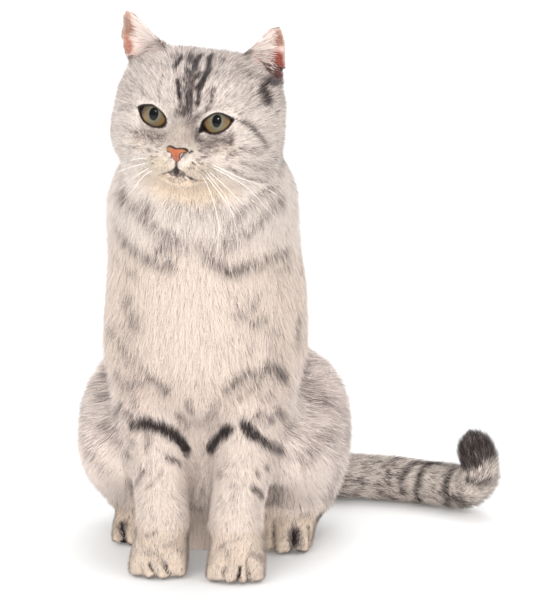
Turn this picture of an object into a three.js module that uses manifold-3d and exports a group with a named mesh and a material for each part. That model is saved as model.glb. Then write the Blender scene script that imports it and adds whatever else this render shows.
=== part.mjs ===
// A silver tabby shorthair cat, sitting upright, life size, as a still museum model.
// Units are millimetres, +Z is up. The cat faces -Y and its own left side is +X.
// The coat's outer surface is one smooth distance field, blended from the animal's named masses.
// The field is turned into closed meshes, and thin cuts part them into the named pieces.
import * as THREE from "three";
import { mergeVertices } from "three/addons/utils/BufferGeometryUtils.js";
import Module from "manifold-3d";

// ---- driving dimensions ----
const gap = 0.3; // air between pieces that touch
const cells = { body: 12.6, head: 7, muzzle: 4.2, forepaw: 4.2, hindpaw: 4.9 }; // grid steps of the meshes
const bodyTurn = 4.5; // degrees that the body is turned towards the cat's right
const deg = Math.PI / 180;

// The head has its own frame, with its origin between the ears' roots and the jaw.
const head = { at: [1.8, -8, 312], turn: 10.5, roll: 6.3, nod: 1 };
const eye = {
  radius: 10.4, apart: 42, middle: [-1.3, -35.8, 3.2], slant: 24, opening: [21.5, 14], lid: 1.3,
};
const nose = { width: 15.5, height: 8.8, depth: 7, at: [0, -66, -18], slope: 16 };
const mouth = { halfWidth: 13, top: -25.2, drop: 4.5, groove: 1.3 };
const ear = { thick: 2.6, cup: 18, bow: 3, innerEdge: 0.55, outerEdge: 0.4, flare: 0.4 };
const ears = {
  left: { inner: [24, -1, 40], outer: [51, 11, 24], tip: [45, 1, 66.5] },
  right: { inner: [26, -1, 40], outer: [53, 11, 23], tip: [56, 1, 65] },
};
const earCut = { at: [39.5, 0, 43], splay: 0.75 }; // the plane between each ear and the head

// Masses of the head, as centre and half sizes. Those marked as a pair are also mirrored.
const headMasses = {
  cranium: { at: [0, 9, 8], size: [46, 45, 36] },
  crown: { at: [21, 8, 17], size: [23, 28, 25], pair: true },
  temple: { at: [40, -2, 14], size: [14.5, 20, 18], pair: true },
  brow: { at: [16, -29, 17], size: [17, 14, 13], pair: true },
  malar: { at: [23, -30, -8], size: [14, 13.5, 12], pair: true },
  cheek: { at: [30.5, -5, -13], size: [27, 33, 27], pair: true },
  jowl: { at: [22, -27, -19], size: [17, 17, 15], pair: true },
  occiput: { at: [0, 32, -8], size: [42, 32, 38] },
  jaw: { at: [0, -16, -25], size: [31, 32, 17] },
};
const hollows = {
  socket: { back: [-1, -13, -1], size: [12, 8.5, 8], lean: -eye.slant }, // from the eye's centre
  canal: { at: [40, 10, 36], size: [9, 7, 13], lean: 18 },
};
const muzzle = {
  bridge: { from: [0, -30, 6], to: [0, -56.5, -13.5], radii: [13.5, 9] },
  pad: { at: [9.4, -50.5, -24], size: [13.4, 15, 10.4] },
  chin: { at: [0, -46.5, -33], size: [12.5, 12, 8.6] },
  cut: [[-45, -9.5], [-80.5, 38.9], [-130, 38.9], [-130, -75], [-40, -75]], // side view, as y and z
  cutWidth: 90,
};

// Masses of the trunk, in the body's own frame, some of them tilted about X by some degrees.
const trunkMasses = {
  nape: { at: [0, 30, 272], size: [47, 36, 48], tilt: -14 },
  ruff: { at: [3.5, 10, 267], size: [55.5, 34, 32] },
  neck: { at: [0.5, 14, 244], size: [64, 50, 44] },
  mantle: { at: [-1.5, 24, 212], size: [58, 48, 36] },
  chest: { at: [2.5, 40, 183], size: [67, 57, 84], tilt: -10 },
  breast: { at: [0, 4, 172], size: [44, 26, 64] },
  back: { at: [0, 88, 150], size: [61, 60, 86], tilt: 24 },
  loin: { at: [2, 112, 110], size: [81, 54, 36] },
  hips: { at: [0, 118, 66], size: [77, 78, 72] },
  belly: { at: [0, 58, 66], size: [46, 44, 70] },
};
const shoulder = { at: [41, 34, 160], size: [27, 34, 50], tilt: -12 };
const thighs = {
  left: { at: [65.5, 94, 70], size: [34, 62, 60], tilt: 14, lean: 6 },
  right: { at: [63, 93, 80], size: [34, 62, 54], tilt: 14 },
};
const forelegs = {
  left: { elbow: [34, 24, 112], wrist: [25.5, -9, 36], paw: [27.5, -21.5, 12] },
  right: { elbow: [-34, 26, 112], wrist: [-24.5, -6, 36], paw: [-26.5, -13.5, 12] },
};
const foreRadii = { shoulder: 31, elbow: 25, wrist: 17.2 };
const hindlegs = {
  left: { knee: [60, 42, 76], heel: [50, 138, 24], paw: [57, 56, 12] },
  right: { knee: [-60, 42, 76], heel: [-50, 140, 24], paw: [-51.5, 68, 12] },
};
const hindRadii = { knee: 30, heel: 21, foot: 16.5 };
const paws = { fore: { width: 42, length: 46 }, hind: { width: 39, length: 44 } };
const toe = { radius: 6.6, crease: 1.2 };

// The tail lies on the floor, comes forward round the left thigh and curls up at its end.
const tailPath = [
  [22, 172, 32], [62, 193, 23], [105, 199, 19], [145, 190, 18.5], [178, 170, 19],
  [199, 151, 22], [206.5, 144, 34], [202.5, 147, 50],
];
const tailRadii = { root: 21, middle: 18.6, end: 15.6, tip: 15 };
const tailSpan = { rootEnd: 0.3, taperStart: 0.55 }; // as shares of the tail's length
const tailSections = { rings: 24, sides: 12, cuts: [0.42, 0.72] };

// Blocks that part the limbs, on the left side of the body's own frame.
const regions = {
  forepaw: { x: [gap / 2, 60], y: [-75, 45], z: [0, 34], cell: cells.forepaw },
  hindpaw: { x: [24, 88], y: [18, 88], z: [0, 30 - gap], cell: cells.hindpaw },
  foreleg: { x: [gap / 2, 56], y: [-60, 42], z: [30, 118] },
  thigh: { x: [44, 130], y: [8, 160], z: [30, 140 - gap] },
  hock: { x: [26, 130], y: [24, 175], z: [0, 30 - gap] },
};
const levels = { neck: 232, chest: 140 }; // the lower ends of these two pieces
const throat = { height: 281, tilt: 33 }; // the plane between the head and the neck
const extents = {
  head: [[-80, -104, 232], [84, 84, 390]], // the boxes that the grids fill
  muzzle: [[-52, -92, 254], [38, -26, 326]],
  body: [[-125, -80, -30], [140, 230, 330]],
};

const looks = {
  coat: [0xd9ccc3, 0.9], // colour and roughness
  cream: [0xe9dac9, 0.9],
  dark: [0x5a504e, 0.85],
  nose: [0xc97c66, 0.55],
  eye: [0x7d7148, 0.08],
};

// ---- distance functions ----
const smoothLeast = (a, b, k) => {
  const h = Math.max(k - Math.abs(a - b), 0) / k;
  return Math.min(a, b) - (h * h * k) / 4;
};

// Joins several fields with fillets of about k.
const blend = (k, ...parts) => (x, y, z) => {
  let d = parts[0](x, y, z);
  for (let i = 1; i < parts.length; i++) {
    d = smoothLeast(d, parts[i](x, y, z), k);
  }
  return d;
};

const carve = (k, body, ...tools) => (x, y, z) => {
  let d = body(x, y, z);
  for (const tool of tools) {
    d = -smoothLeast(-d, tool(x, y, z), k);
  }
  return d;
};

// Moves a field by a matrix.
function placed(matrix, field) {
  const e = matrix.clone().invert().elements;
  return (x, y, z) =>
    field(
      e[0] * x + e[4] * y + e[8] * z + e[12],
      e[1] * x + e[5] * y + e[9] * z + e[13],
      e[2] * x + e[6] * y + e[10] * z + e[14],
    );
}

function poseMatrix(at, tilt = 0, lean = 0, turn = 0) {
  const angles = new THREE.Euler(tilt * deg, lean * deg, turn * deg, "ZYX");
  return new THREE.Matrix4().makeRotationFromEuler(angles).setPosition(...at);
}

function oval({ at, size: [a, b, c], tilt = 0, lean = 0 }, side = 1) {
  const centre = [at[0] * side, at[1], at[2]];
  const field = (x, y, z) => {
    const near = Math.hypot(x / a, y / b, z / c);
    const slope = Math.hypot(x / (a * a), y / (b * b), z / (c * c));
    return slope < 1e-9 ? -Math.min(a, b, c) : (near * (near - 1)) / slope;
  };
  return placed(poseMatrix(centre, tilt, lean * side), field);
}

function limb(from, to, ra, rb = ra) {
  const [ax, ay, az] = from;
  const [bx, by, bz] = [to[0] - ax, to[1] - ay, to[2] - az];
  const length2 = bx * bx + by * by + bz * bz;
  return (x, y, z) => {
    const [px, py, pz] = [x - ax, y - ay, z - az];
    const t = Math.min(1, Math.max(0, (px * bx + py * by + pz * bz) / length2));
    return Math.hypot(px - t * bx, py - t * by, pz - t * bz) - ra - (rb - ra) * t;
  };
}

const sides = [["left", 1], ["right", -1]];
const pair = (mass) => [oval(mass, 1), oval(mass, -1)];
const ovals = (masses) => Object.values(masses).flatMap((m) => (m.pair ? pair(m) : [oval(m)]));

function eyeCentre(side) {
  const [x, y, z] = eye.middle;
  return [x + (side * eye.apart) / 2, y, z];
}

// ---- the head ----
const headMatrix = poseMatrix(head.at, head.nod, head.roll, -head.turn);

function headField() {
  const skull = blend(16, ...ovals(headMasses));
  const { bridge, pad, chin } = muzzle;
  const snout = blend(5, limb(bridge.from, bridge.to, ...bridge.radii), ...pair(pad));
  const face = blend(9, skull, snout);
  const withChin = blend(4.5, face, oval(chin));
  const sockets = sides.map(([, side]) => {
    const [x, y, z] = eyeCentre(side);
    const at = [x * side, y, z].map((v, i) => v + hollows.socket.back[i]);
    return oval({ ...hollows.socket, at }, side);
  });
  return carve(7, withChin, ...sockets, ...pair(hollows.canal));
}

// ---- the legs and paws ----
// Four toes stand side by side in front of the paw's own mass.
function pawField([px, py, pz], { width, length }, side) {
  const mass = oval({ at: [px, py + length * 0.14, pz], size: [width * 0.42, length * 0.42, 15] });
  const arch = oval({ at: [px, py - length * 0.04, pz], size: [width * 0.4, length * 0.31, 11.5] });
  const toes = [-1.5, -0.5, 0.5, 1.5].map((step) => {
    const inner = Math.abs(step) < 1;
    const x = px + (step * (width - 2 * toe.radius)) / 3;
    const reach = py - length * (inner ? 0.38 : 0.27) - (step * side < 0 ? 1 : 0);
    const knuckle = [px + (x - px) * 0.85, py - length * 0.04, pz + 1];
    return limb(knuckle, [x, reach, toe.radius + 0.6], toe.radius + 0.4, toe.radius);
  });
  return blend(5, blend(8, mass, arch), blend(toe.crease, ...toes));
}

function forelegField(name, side) {
  const { elbow, wrist, paw } = forelegs[name];
  const { shoulder: top, elbow: middle, wrist: low } = foreRadii;
  const ankle = [paw[0], paw[1] + 6, 22];
  const upper = limb([shoulder.at[0] * side, shoulder.at[1], 150], elbow, top, middle);
  const lower = blend(10, limb(elbow, wrist, middle, low), limb(wrist, ankle, low, 15.5));
  return blend(9, blend(16, upper, lower), pawField(paw, paws.fore, side));
}

function hindlegField(name, side) {
  const { knee, heel, paw } = hindlegs[name];
  const { knee: top, heel: low, foot } = hindRadii;
  const shin = limb(knee, heel, top, low);
  const sole = limb([heel[0], heel[1], 16], [paw[0], paw[1] + 10, 14], foot, 15.5);
  return blend(14, shin, blend(8, sole, pawField(paw, paws.hind, side)));
}

// ---- the whole body ----
const bodyMatrix = poseMatrix([0, 0, 0], 0, 0, -bodyTurn);
const fields = { head: placed(headMatrix, headField()) };
fields.trunk = placed(bodyMatrix, blend(26, ...ovals(trunkMasses)));
fields.thighs = placed(bodyMatrix, blend(1, ...sides.map(([name, side]) => oval(thighs[name], side))));
fields.shoulders = placed(bodyMatrix, blend(1, ...pair(shoulder)));
for (const [name, side] of sides) {
  fields[name + "Foreleg"] = placed(bodyMatrix, forelegField(name, side));
  fields[name + "Hindleg"] = placed(bodyMatrix, hindlegField(name, side));
}

const trunkAndLegs = blend(
  8,
  blend(20, fields.trunk, fields.shoulders),
  fields.leftForeleg,
  fields.rightForeleg,
);
const haunches = blend(12, fields.thighs, fields.leftHindleg, fields.rightHindleg);
const coat = blend(12, blend(12, trunkAndLegs, haunches), fields.head);

// ---- from a field to a closed mesh ----
const corners = [0, 1, 2, 3, 4, 5, 6, 7].map((i) => [i & 1, (i >> 1) & 1, i >> 2]);
const edges = [];
for (let a = 0; a < 8; a++) {
  for (const bit of [1, 2, 4]) {
    if (!(a & bit)) {
      edges.push([a, a | bit]);
    }
  }
}
const edgeOf = new Map(edges.map(([a, b], i) => [a * 8 + b, i]));
const edgeBetween = (a, b) => edgeOf.get(Math.min(a, b) * 8 + Math.max(a, b));
const faces = [[0, 1, 3, 2], [4, 5, 7, 6], [0, 1, 5, 4], [2, 3, 7, 6], [0, 2, 6, 4], [1, 3, 7, 5]];

// Groups the crossed edges of one grid cell into the separate sheets that pass through it.
function sheetsOf(inside) {
  const group = edges.map((_, i) => i);
  const find = (i) => (group[i] === i ? i : find(group[i]));
  for (const face of faces) {
    const crossed = face.filter((c, i) => inside[c] !== inside[face[(i + 1) % 4]]).length;
    face.forEach((c, i) => {
      const before = face[(i + 3) % 4];
      const after = face[(i + 1) % 4];
      const alone = inside[c] !== inside[before] && inside[c] !== inside[after];
      if (alone && (crossed === 2 || inside[c])) {
        group[find(edgeBetween(c, before))] = find(edgeBetween(c, after));
      }
      if (crossed === 2 && inside[c] !== inside[before] && inside[c] === inside[after]) {
        const far = face[(i + 2) % 4];
        group[find(edgeBetween(c, before))] = find(edgeBetween(after, far));
      }
    });
  }
  return edges.map(([a, b], i) => (inside[a] === inside[b] ? -1 : find(i)));
}

// One vertex for each sheet in each crossed cell, and a four-sided face across each crossed edge.
function meshOfField(field, low, high, cell, swell) {
  const count = low.map((v, i) => Math.ceil((high[i] - v) / cell) + 1);
  const [nx, ny, nz] = count;
  const index = (i, j, k) => i + nx * (j + ny * k);
  const values = new Float64Array(nx * ny * nz);
  for (let k = 0; k < nz; k++) {
    for (let j = 0; j < ny; j++) {
      for (let i = 0; i < nx; i++) {
        values[index(i, j, k)] = field(low[0] + i * cell, low[1] + j * cell, low[2] + k * cell);
      }
    }
  }
  const points = [];
  const vertexAt = new Map();
  for (let k = 0; k < nz - 1; k++) {
    for (let j = 0; j < ny - 1; j++) {
      for (let i = 0; i < nx - 1; i++) {
        const at = corners.map(([a, b, c]) => index(i + a, j + b, k + c));
        const inside = at.map((n) => values[n] < 0);
        if (inside.every((v) => v === inside[0])) {
          continue;
        }
        const sheets = sheetsOf(inside);
        for (const sheet of new Set(sheets.filter((s) => s >= 0))) {
          const middle = [0, 0, 0];
          const members = sheets.flatMap((s, e) => (s === sheet ? [e] : []));
          for (const e of members) {
            const [a, b] = edges[e];
            const t = values[at[a]] / (values[at[a]] - values[at[b]]);
            [i, j, k].forEach((base, axis) => {
              const along = corners[a][axis] + t * (corners[b][axis] - corners[a][axis]);
              middle[axis] += (base + along) / members.length;
            });
            vertexAt.set(index(i, j, k) * 12 + e, points.length / 3);
          }
          points.push(...settle(field, middle.map((v, axis) => low[axis] + v * cell), swell));
        }
      }
    }
  }
  return { points, triangles: facesAcross(values, count, index, vertexAt, points) };
}

// Moves a point onto the field's surface, or out to a small distance from it.
function settle(field, point, swell) {
  const step = 0.05;
  let [x, y, z] = point;
  for (let turn = 0; turn < 3; turn++) {
    const d = field(x, y, z);
    const gx = (field(x + step, y, z) - d) / step;
    const gy = (field(x, y + step, z) - d) / step;
    const gz = (field(x, y, z + step) - d) / step;
    const length = Math.max(Math.hypot(gx, gy, gz), 0.5);
    const pull = (0.8 * d) / length ** 2 - (turn === 2 ? swell / length : 0);
    x -= pull * gx;
    y -= pull * gy;
    z -= pull * gz;
  }
  return [x, y, z];
}

function facesAcross(values, count, index, vertexAt, points) {
  const triangles = [];
  const distance = (a, b) =>
    Math.hypot(...[0, 1, 2].map((n) => points[3 * a + n] - points[3 * b + n]));
  for (let k = 1; k < count[2] - 1; k++) {
    for (let j = 1; j < count[1] - 1; j++) {
      for (let i = 1; i < count[0] - 1; i++) {
        for (let axis = 0; axis < 3; axis++) {
          const here = [i, j, k];
          const next = here.map((v, n) => v + (n === axis ? 1 : 0));
          const from = values[index(...here)] < 0;
          const to = values[index(...next)] < 0;
          if (from === to) {
            continue;
          }
          const u = (axis + 1) % 3;
          const v = (axis + 2) % 3;
          const ring = [[0, 0], [1, 0], [1, 1], [0, 1]].map(([du, dv]) => {
            const cell = [...here];
            cell[u] -= du;
            cell[v] -= dv;
            const a = (du << u) | (dv << v);
            return vertexAt.get(index(...cell) * 12 + edgeBetween(a, a | (1 << axis)));
          });
          const [p, q, r, s] = from ? ring : [...ring].reverse();
          if (distance(p, r) < distance(q, s)) {
            triangles.push(p, q, r, p, r, s);
          } else {
            triangles.push(p, q, s, q, r, s);
          }
        }
      }
    }
  }
  return triangles;
}

// ---- solids ----
const wasm = await Module();
wasm.setup();

function solidOf(points, triangles) {
  const mesh = new wasm.Mesh({
    numProp: 3,
    vertProperties: new Float32Array(points),
    triVerts: new Uint32Array(triangles),
  });
  const made = new wasm.Manifold(mesh);
  return made.volume() < 0 ? solidOf(points, turnedOver(triangles)) : made;
}

function turnedOver(triangles) {
  const turned = [...triangles];
  for (let i = 0; i < turned.length; i += 3) {
    [turned[i + 1], turned[i + 2]] = [turned[i + 2], turned[i + 1]];
  }
  return turned;
}

// True when every edge belongs to just two triangles.
function isTwoSided(triangles) {
  const uses = new Map();
  triangles.forEach((a, i) => {
    const b = triangles[i % 3 === 2 ? i - 2 : i + 1];
    const key = Math.min(a, b) * 1e6 + Math.max(a, b);
    uses.set(key, (uses.get(key) ?? 0) + 1);
  });
  return [...uses.values()].every((n) => n === 2);
}

// The field is closed off one cell inside the grid, and those flat ends are cut away later.
// The grid moves in small steps until the mesh is free of edges that four faces share.
function solidOfField(field, low, high, cell, swell = 0) {
  const closed = (x, y, z) => {
    const past = [x, y, z].map((v, i) => Math.max(low[i] + 1.3 * cell - v, v - high[i] + 1.3 * cell));
    return Math.max(field(x, y, z), ...past);
  };
  for (let shift = 0; shift < 1; shift += 0.07) {
    const start = low.map((v, i) => v - cell * shift * (1 - 0.3 * i));
    const { points, triangles } = meshOfField(closed, start, high, cell, swell);
    if (isTwoSided(triangles)) {
      return solidOf(points, triangles);
    }
  }
  throw new Error("no grid gives a clean mesh");
}

function solidOfGeometry(geometry, matrix = new THREE.Matrix4()) {
  const bare = geometry.clone().applyMatrix4(matrix);
  bare.deleteAttribute("normal");
  bare.deleteAttribute("uv");
  const merged = mergeVertices(bare, 1e-3);
  return solidOf([...merged.attributes.position.array], [...merged.index.array]);
}

// A box from corner to corner, placed by a matrix.
function block(low, high, matrix = new THREE.Matrix4()) {
  const size = high.map((v, i) => v - low[i]);
  const middle = high.map((v, i) => (v + low[i]) / 2);
  const at = new THREE.Matrix4().makeTranslation(...middle);
  return solidOfGeometry(new THREE.BoxGeometry(...size), at.premultiply(matrix));
}

const largest = (solid) =>
  solid.decompose().reduce((a, b) => (b.volume() > a.volume() ? b : a));

// ---- ears ----
// A cupped shell, open to the front, from a root sunk in the head to a rounded tip.
function earSolid(name, side) {
  const flip = ([x, y, z]) => new THREE.Vector3(x * side, y, z);
  const [inner, outer, tip] = [ears[name].inner, ears[name].outer, ears[name].tip].map(flip);
  const root = inner.clone().add(outer).multiplyScalar(0.5);
  const across = outer.clone().sub(inner).multiplyScalar(0.5);
  const up = tip.clone().sub(root);
  const back = new THREE.Vector3().crossVectors(across, up).normalize().multiplyScalar(-side);
  const rows = 10;
  const columns = 8;
  const depthBelow = 0.2;
  const sheet = (offset) => {
    const points = [];
    for (let row = 0; row <= rows; row++) {
      const v = ((1 + depthBelow) * row) / rows - depthBelow;
      const rise = Math.max(v, 0);
      for (let column = 0; column <= columns; column++) {
        const u = -1 + (2 * column) / columns;
        const flare = u < 0 ? ear.flare * Math.max(1 - 2 * rise, 0) ** 2 : 0;
        const width = (1 - rise) ** (u < 0 ? ear.innerEdge : ear.outerEdge) + flare;
        const hollow = ear.cup * (1 - u * u) * (1 - rise) ** 0.8;
        const bow = ear.bow * Math.sin(Math.PI * rise);
        const taper = (1 - 0.7 * Math.abs(u) ** 6) * (0.45 + 0.55 * Math.min(1, 3 * (1 - rise)));
        points.push(
          root
            .clone()
            .addScaledVector(up, v)
            .addScaledVector(across, u * width)
            .addScaledVector(back, hollow + offset * taper - bow),
        );
      }
    }
    return points;
  };
  const points = [...sheet(-ear.thick / 2), ...sheet(ear.thick / 2)];
  const geometry = new THREE.BufferGeometry().setFromPoints(points);
  geometry.setIndex(shellTriangles(rows, columns));
  return solidOfGeometry(geometry, headMatrix);
}

// The triangles of two equal grids of points, joined along their four edges.
function shellTriangles(rows, columns) {
  const half = (rows + 1) * (columns + 1);
  const at = (layer, row, column) => layer * half + row * (columns + 1) + column;
  const triangles = [];
  const quad = (a, b, c, d) => triangles.push(a, b, c, a, c, d);
  for (let row = 0; row < rows; row++) {
    for (let column = 0; column < columns; column++) {
      const ring = (layer) => [
        at(layer, row, column), at(layer, row, column + 1),
        at(layer, row + 1, column + 1), at(layer, row + 1, column),
      ];
      quad(...ring(0));
      quad(...ring(1).reverse());
    }
    const last = columns;
    quad(at(0, row, 0), at(0, row + 1, 0), at(1, row + 1, 0), at(1, row, 0));
    quad(at(0, row, last), at(1, row, last), at(1, row + 1, last), at(0, row + 1, last));
  }
  for (let column = 0; column < columns; column++) {
    const next = column + 1;
    quad(at(0, 0, column), at(1, 0, column), at(1, 0, next), at(0, 0, next));
    quad(at(0, rows, column), at(0, rows, next), at(1, rows, next), at(1, rows, column));
  }
  return triangles;
}

// ---- eyes, nose and mouth ----
function eyeball(side, margin = 0, segments = [14, 10]) {
  const sphere = new THREE.SphereGeometry(eye.radius + margin, ...segments).rotateX(Math.PI / 2);
  return solidOfGeometry(sphere, poseMatrix(eyeCentre(side)).premultiply(headMatrix));
}

// The lids are a shell over the eyeball with an almond opening, its outer corner raised.
function lids(side) {
  const [width, height] = eye.opening;
  const outline = new THREE.Shape();
  outline.moveTo(-width / 2, 0);
  outline.quadraticCurveTo(-width * 0.22, height * 0.72, width * 0.1, height * 0.5);
  outline.quadraticCurveTo(width * 0.42, height * 0.34, width / 2, 0);
  outline.quadraticCurveTo(width * 0.3, -height * 0.5, -width * 0.04, -height * 0.5);
  outline.quadraticCurveTo(-width * 0.36, -height * 0.48, -width / 2, 0);
  const prism = new THREE.ExtrudeGeometry(outline, { depth: 30, bevelEnabled: false, curveSegments: 4 });
  prism.translate(0, 0, 2).rotateX(Math.PI / 2).rotateY(-side * eye.slant * deg);
  const turned = poseMatrix(eyeCentre(side), 0, 0, 9 * side).premultiply(headMatrix);
  return eyeball(side, eye.lid, [16, 12]).subtract(solidOfGeometry(prism, turned));
}

// The nose leather is a rounded wedge with a nostril on each side.
function noseSolid(margin = 0) {
  const { width, height, depth, at, slope } = nose;
  const outline = new THREE.Shape();
  outline.moveTo(-width / 2, height * 0.36);
  outline.quadraticCurveTo(-width * 0.3, height * 0.55, 0, height * 0.5);
  outline.quadraticCurveTo(width * 0.3, height * 0.55, width / 2, height * 0.36);
  outline.quadraticCurveTo(width * 0.4, -height * 0.1, width * 0.16, -height * 0.3);
  outline.quadraticCurveTo(width * 0.1, -height * 0.5, 0, -height * 0.52);
  outline.quadraticCurveTo(-width * 0.1, -height * 0.5, -width * 0.16, -height * 0.3);
  outline.quadraticCurveTo(-width * 0.4, -height * 0.1, -width / 2, height * 0.36);
  const body = new THREE.ExtrudeGeometry(outline, {
    depth: depth + 2 * margin, curveSegments: 3, bevelThickness: 1.6, bevelSize: 1,
    bevelOffset: -1 + margin, bevelSegments: 2,
  });
  body.translate(0, 0, -depth - margin).rotateX(Math.PI / 2);
  return solidOfGeometry(body, poseMatrix(at, slope).premultiply(headMatrix));
}

function nostrils() {
  const { width, height, at, slope } = nose;
  return sides.map(([, side]) => {
    const place = poseMatrix([side * width * 0.31, -1.2, -height * 0.08], 7, 40 * side);
    place.premultiply(poseMatrix(at, slope)).premultiply(headMatrix);
    const pit = new THREE.SphereGeometry(1, 8, 6).scale(2.3, 3.2, 1.15);
    return solidOfGeometry(pit, place);
  });
}

const localHead = headField();

// The depth of the face's surface behind a point of the front view, in the head's frame.
function faceDepth(x, z) {
  let y = -90;
  for (let step = 0; step < 60; step++) {
    y += Math.max(localHead(x, y, z) * 0.7, 0.02);
  }
  return y;
}

function tubeAlong(points, radius) {
  const curve = new THREE.CatmullRomCurve3(points);
  const section = new THREE.Shape();
  section.absarc(0, 0, radius, 0, 2 * Math.PI);
  const tube = new THREE.ExtrudeGeometry(section, {
    steps: points.length + 1, curveSegments: 3, bevelEnabled: false, extrudePath: curve,
  });
  return solidOfGeometry(tube, headMatrix);
}

// The mouth's line runs down from the nose, then along each lip to its corner.
function mouthGrooves() {
  const { halfWidth, top, drop, groove } = mouth;
  const onFace = (x, z) => new THREE.Vector3(x, faceDepth(x, z) + 0.1, z);
  const noseFoot = nose.at[2] - nose.height * 0.5;
  const cleft = [0, 1, 2].map((n) => onFace(0, noseFoot + ((top - 3 - noseFoot) * n) / 2));
  const lip = (side) =>
    [0, 1, 2, 3, 4].map((n) => {
      const t = n / 4;
      return onFace(side * halfWidth * t, top - 2 - drop * Math.sin(0.5 * Math.PI * t) ** 1.4);
    });
  return [tubeAlong(cleft, groove), tubeAlong(lip(1), groove), tubeAlong(lip(-1), groove)];
}

// ---- tail ----
const tailCurve = new THREE.CatmullRomCurve3(tailPath.map((p) => new THREE.Vector3(...p)));

function tailRadius(t) {
  const { root, middle, end } = tailRadii;
  const { rootEnd, taperStart } = tailSpan;
  const full = root + (middle - root) * Math.min(1, t / rootEnd);
  return t < taperStart ? full : full + ((end - full) * (t - taperStart)) / (1 - taperStart);
}

function tailSolid() {
  const { rings, sides: count } = tailSections;
  const frames = tailCurve.computeFrenetFrames(rings, false);
  const end = tailCurve.getPointAt(1);
  const onward = frames.tangents[rings];
  const sections = [];
  for (let n = 0; n <= rings; n++) {
    sections.push({ centre: tailCurve.getPointAt(n / rings), radius: tailRadius(n / rings), n });
  }
  for (const rise of [0.5, 0.85]) {
    const centre = end.clone().addScaledVector(onward, tailRadii.tip * rise);
    sections.push({ centre, radius: tailRadii.end * Math.sqrt(1 - rise * rise), n: rings });
  }
  const points = [];
  const triangles = [];
  sections.forEach(({ centre, radius, n }, ring) => {
    for (let side = 0; side < count; side++) {
      const angle = (2 * Math.PI * side) / count;
      const spot = centre
        .clone()
        .addScaledVector(frames.normals[n], radius * Math.cos(angle))
        .addScaledVector(frames.binormals[n], radius * Math.sin(angle));
      points.push(...spot.toArray());
      if (ring > 0) {
        const a = (ring - 1) * count + side;
        const b = (ring - 1) * count + ((side + 1) % count);
        triangles.push(a, b, b + count, a, b + count, a + count);
      }
    }
  });
  const first = points.length / 3;
  const lastRing = first - count;
  const tip = end.clone().addScaledVector(onward, tailRadii.tip);
  points.push(...tailCurve.getPointAt(0).toArray(), ...tip.toArray());
  for (let side = 0; side < count; side++) {
    const next = (side + 1) % count;
    triangles.push(first, next, side, first + 1, lastRing + side, lastRing + next);
  }
  return solidOf(points, triangles);
}

// A half space beyond a point of the tail, across its run, as a large block.
function beyond(t, margin = 0) {
  const spot = tailCurve.getPointAt(t);
  const way = tailCurve.getTangentAt(t);
  const matrix = new THREE.Matrix4().lookAt(way, new THREE.Vector3(), new THREE.Vector3(0, 0, 1));
  matrix.setPosition(spot);
  return block([-60, -60, -margin], [60, 60, 140], matrix);
}

// ---- the scene graph ----
const finishes = Object.fromEntries(
  Object.entries(looks).map(([name, [color, roughness]]) => [
    name,
    new THREE.MeshStandardMaterial({ name, color, roughness, metalness: 0 }),
  ]),
);
const cat = new THREE.Group();
const headGroup = new THREE.Group();
const bodyGroup = new THREE.Group();
const tailGroup = new THREE.Group();
headGroup.applyMatrix4(headMatrix);
bodyGroup.applyMatrix4(bodyMatrix);
cat.add(headGroup, bodyGroup, tailGroup);

// Adds a solid to a group, as a mesh with its own origin in the middle of its box.
function addPiece(group, name, solid, finish) {
  const own = solid.transform([...group.matrix.clone().invert().elements]);
  const { vertProperties, triVerts, numProp } = own.getMesh();
  const count = vertProperties.length / numProp;
  const positions = new Float32Array(count * 3);
  for (let i = 0; i < count; i++) {
    positions.set(vertProperties.subarray(i * numProp, i * numProp + 3), i * 3);
  }
  const geometry = new THREE.BufferGeometry();
  geometry.setAttribute("position", new THREE.BufferAttribute(positions, 3));
  geometry.setIndex(new THREE.BufferAttribute(new Uint32Array(triVerts), 1));
  geometry.computeBoundingBox();
  const middle = geometry.boundingBox.getCenter(new THREE.Vector3());
  geometry.translate(-middle.x, -middle.y, -middle.z);
  const mesh = new THREE.Mesh(geometry, finishes[finish]);
  mesh.name = name;
  mesh.position.copy(middle);
  group.add(mesh);
}

// ---- the head's pieces ----
const throatMatrix = poseMatrix([0, 0, throat.height], throat.tilt);
const headBlock = (margin) => block([-200, -200, -margin], [200, 200, 260], throatMatrix);

// The muzzle is parted from the head by a wedge that is drawn in the side view.
function muzzleBlock(margin) {
  const outline = new THREE.Shape(muzzle.cut.map(([y, z]) => new THREE.Vector2(y + margin, z + margin)));
  const prism = new THREE.ExtrudeGeometry(outline, { depth: muzzle.cutWidth, bevelEnabled: false });
  const [x, y, z] = [[1, 0, 0], [0, 1, 0], [0, 0, 1]].map((v) => new THREE.Vector3(...v));
  const sideways = new THREE.Matrix4().makeBasis(y, z, x).setPosition(-muzzle.cutWidth / 2, 0, 0);
  return solidOfGeometry(prism, sideways.premultiply(headMatrix));
}

// The ear's piece is what stands above a plane a little over its root.
function earBlock(name, side, margin) {
  const [x, , z] = ears[name].tip;
  const [rootX, rootY, rootZ] = earCut.at;
  const rise = new THREE.Vector3(x * side * earCut.splay, 0, z).normalize();
  const turn = new THREE.Quaternion().setFromUnitVectors(new THREE.Vector3(0, 0, 1), rise);
  const matrix = new THREE.Matrix4().makeRotationFromQuaternion(turn);
  matrix.setPosition(side * rootX, rootY, rootZ);
  return block([-30, -40, -margin], [30, 40, 60], matrix.premultiply(headMatrix));
}

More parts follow.
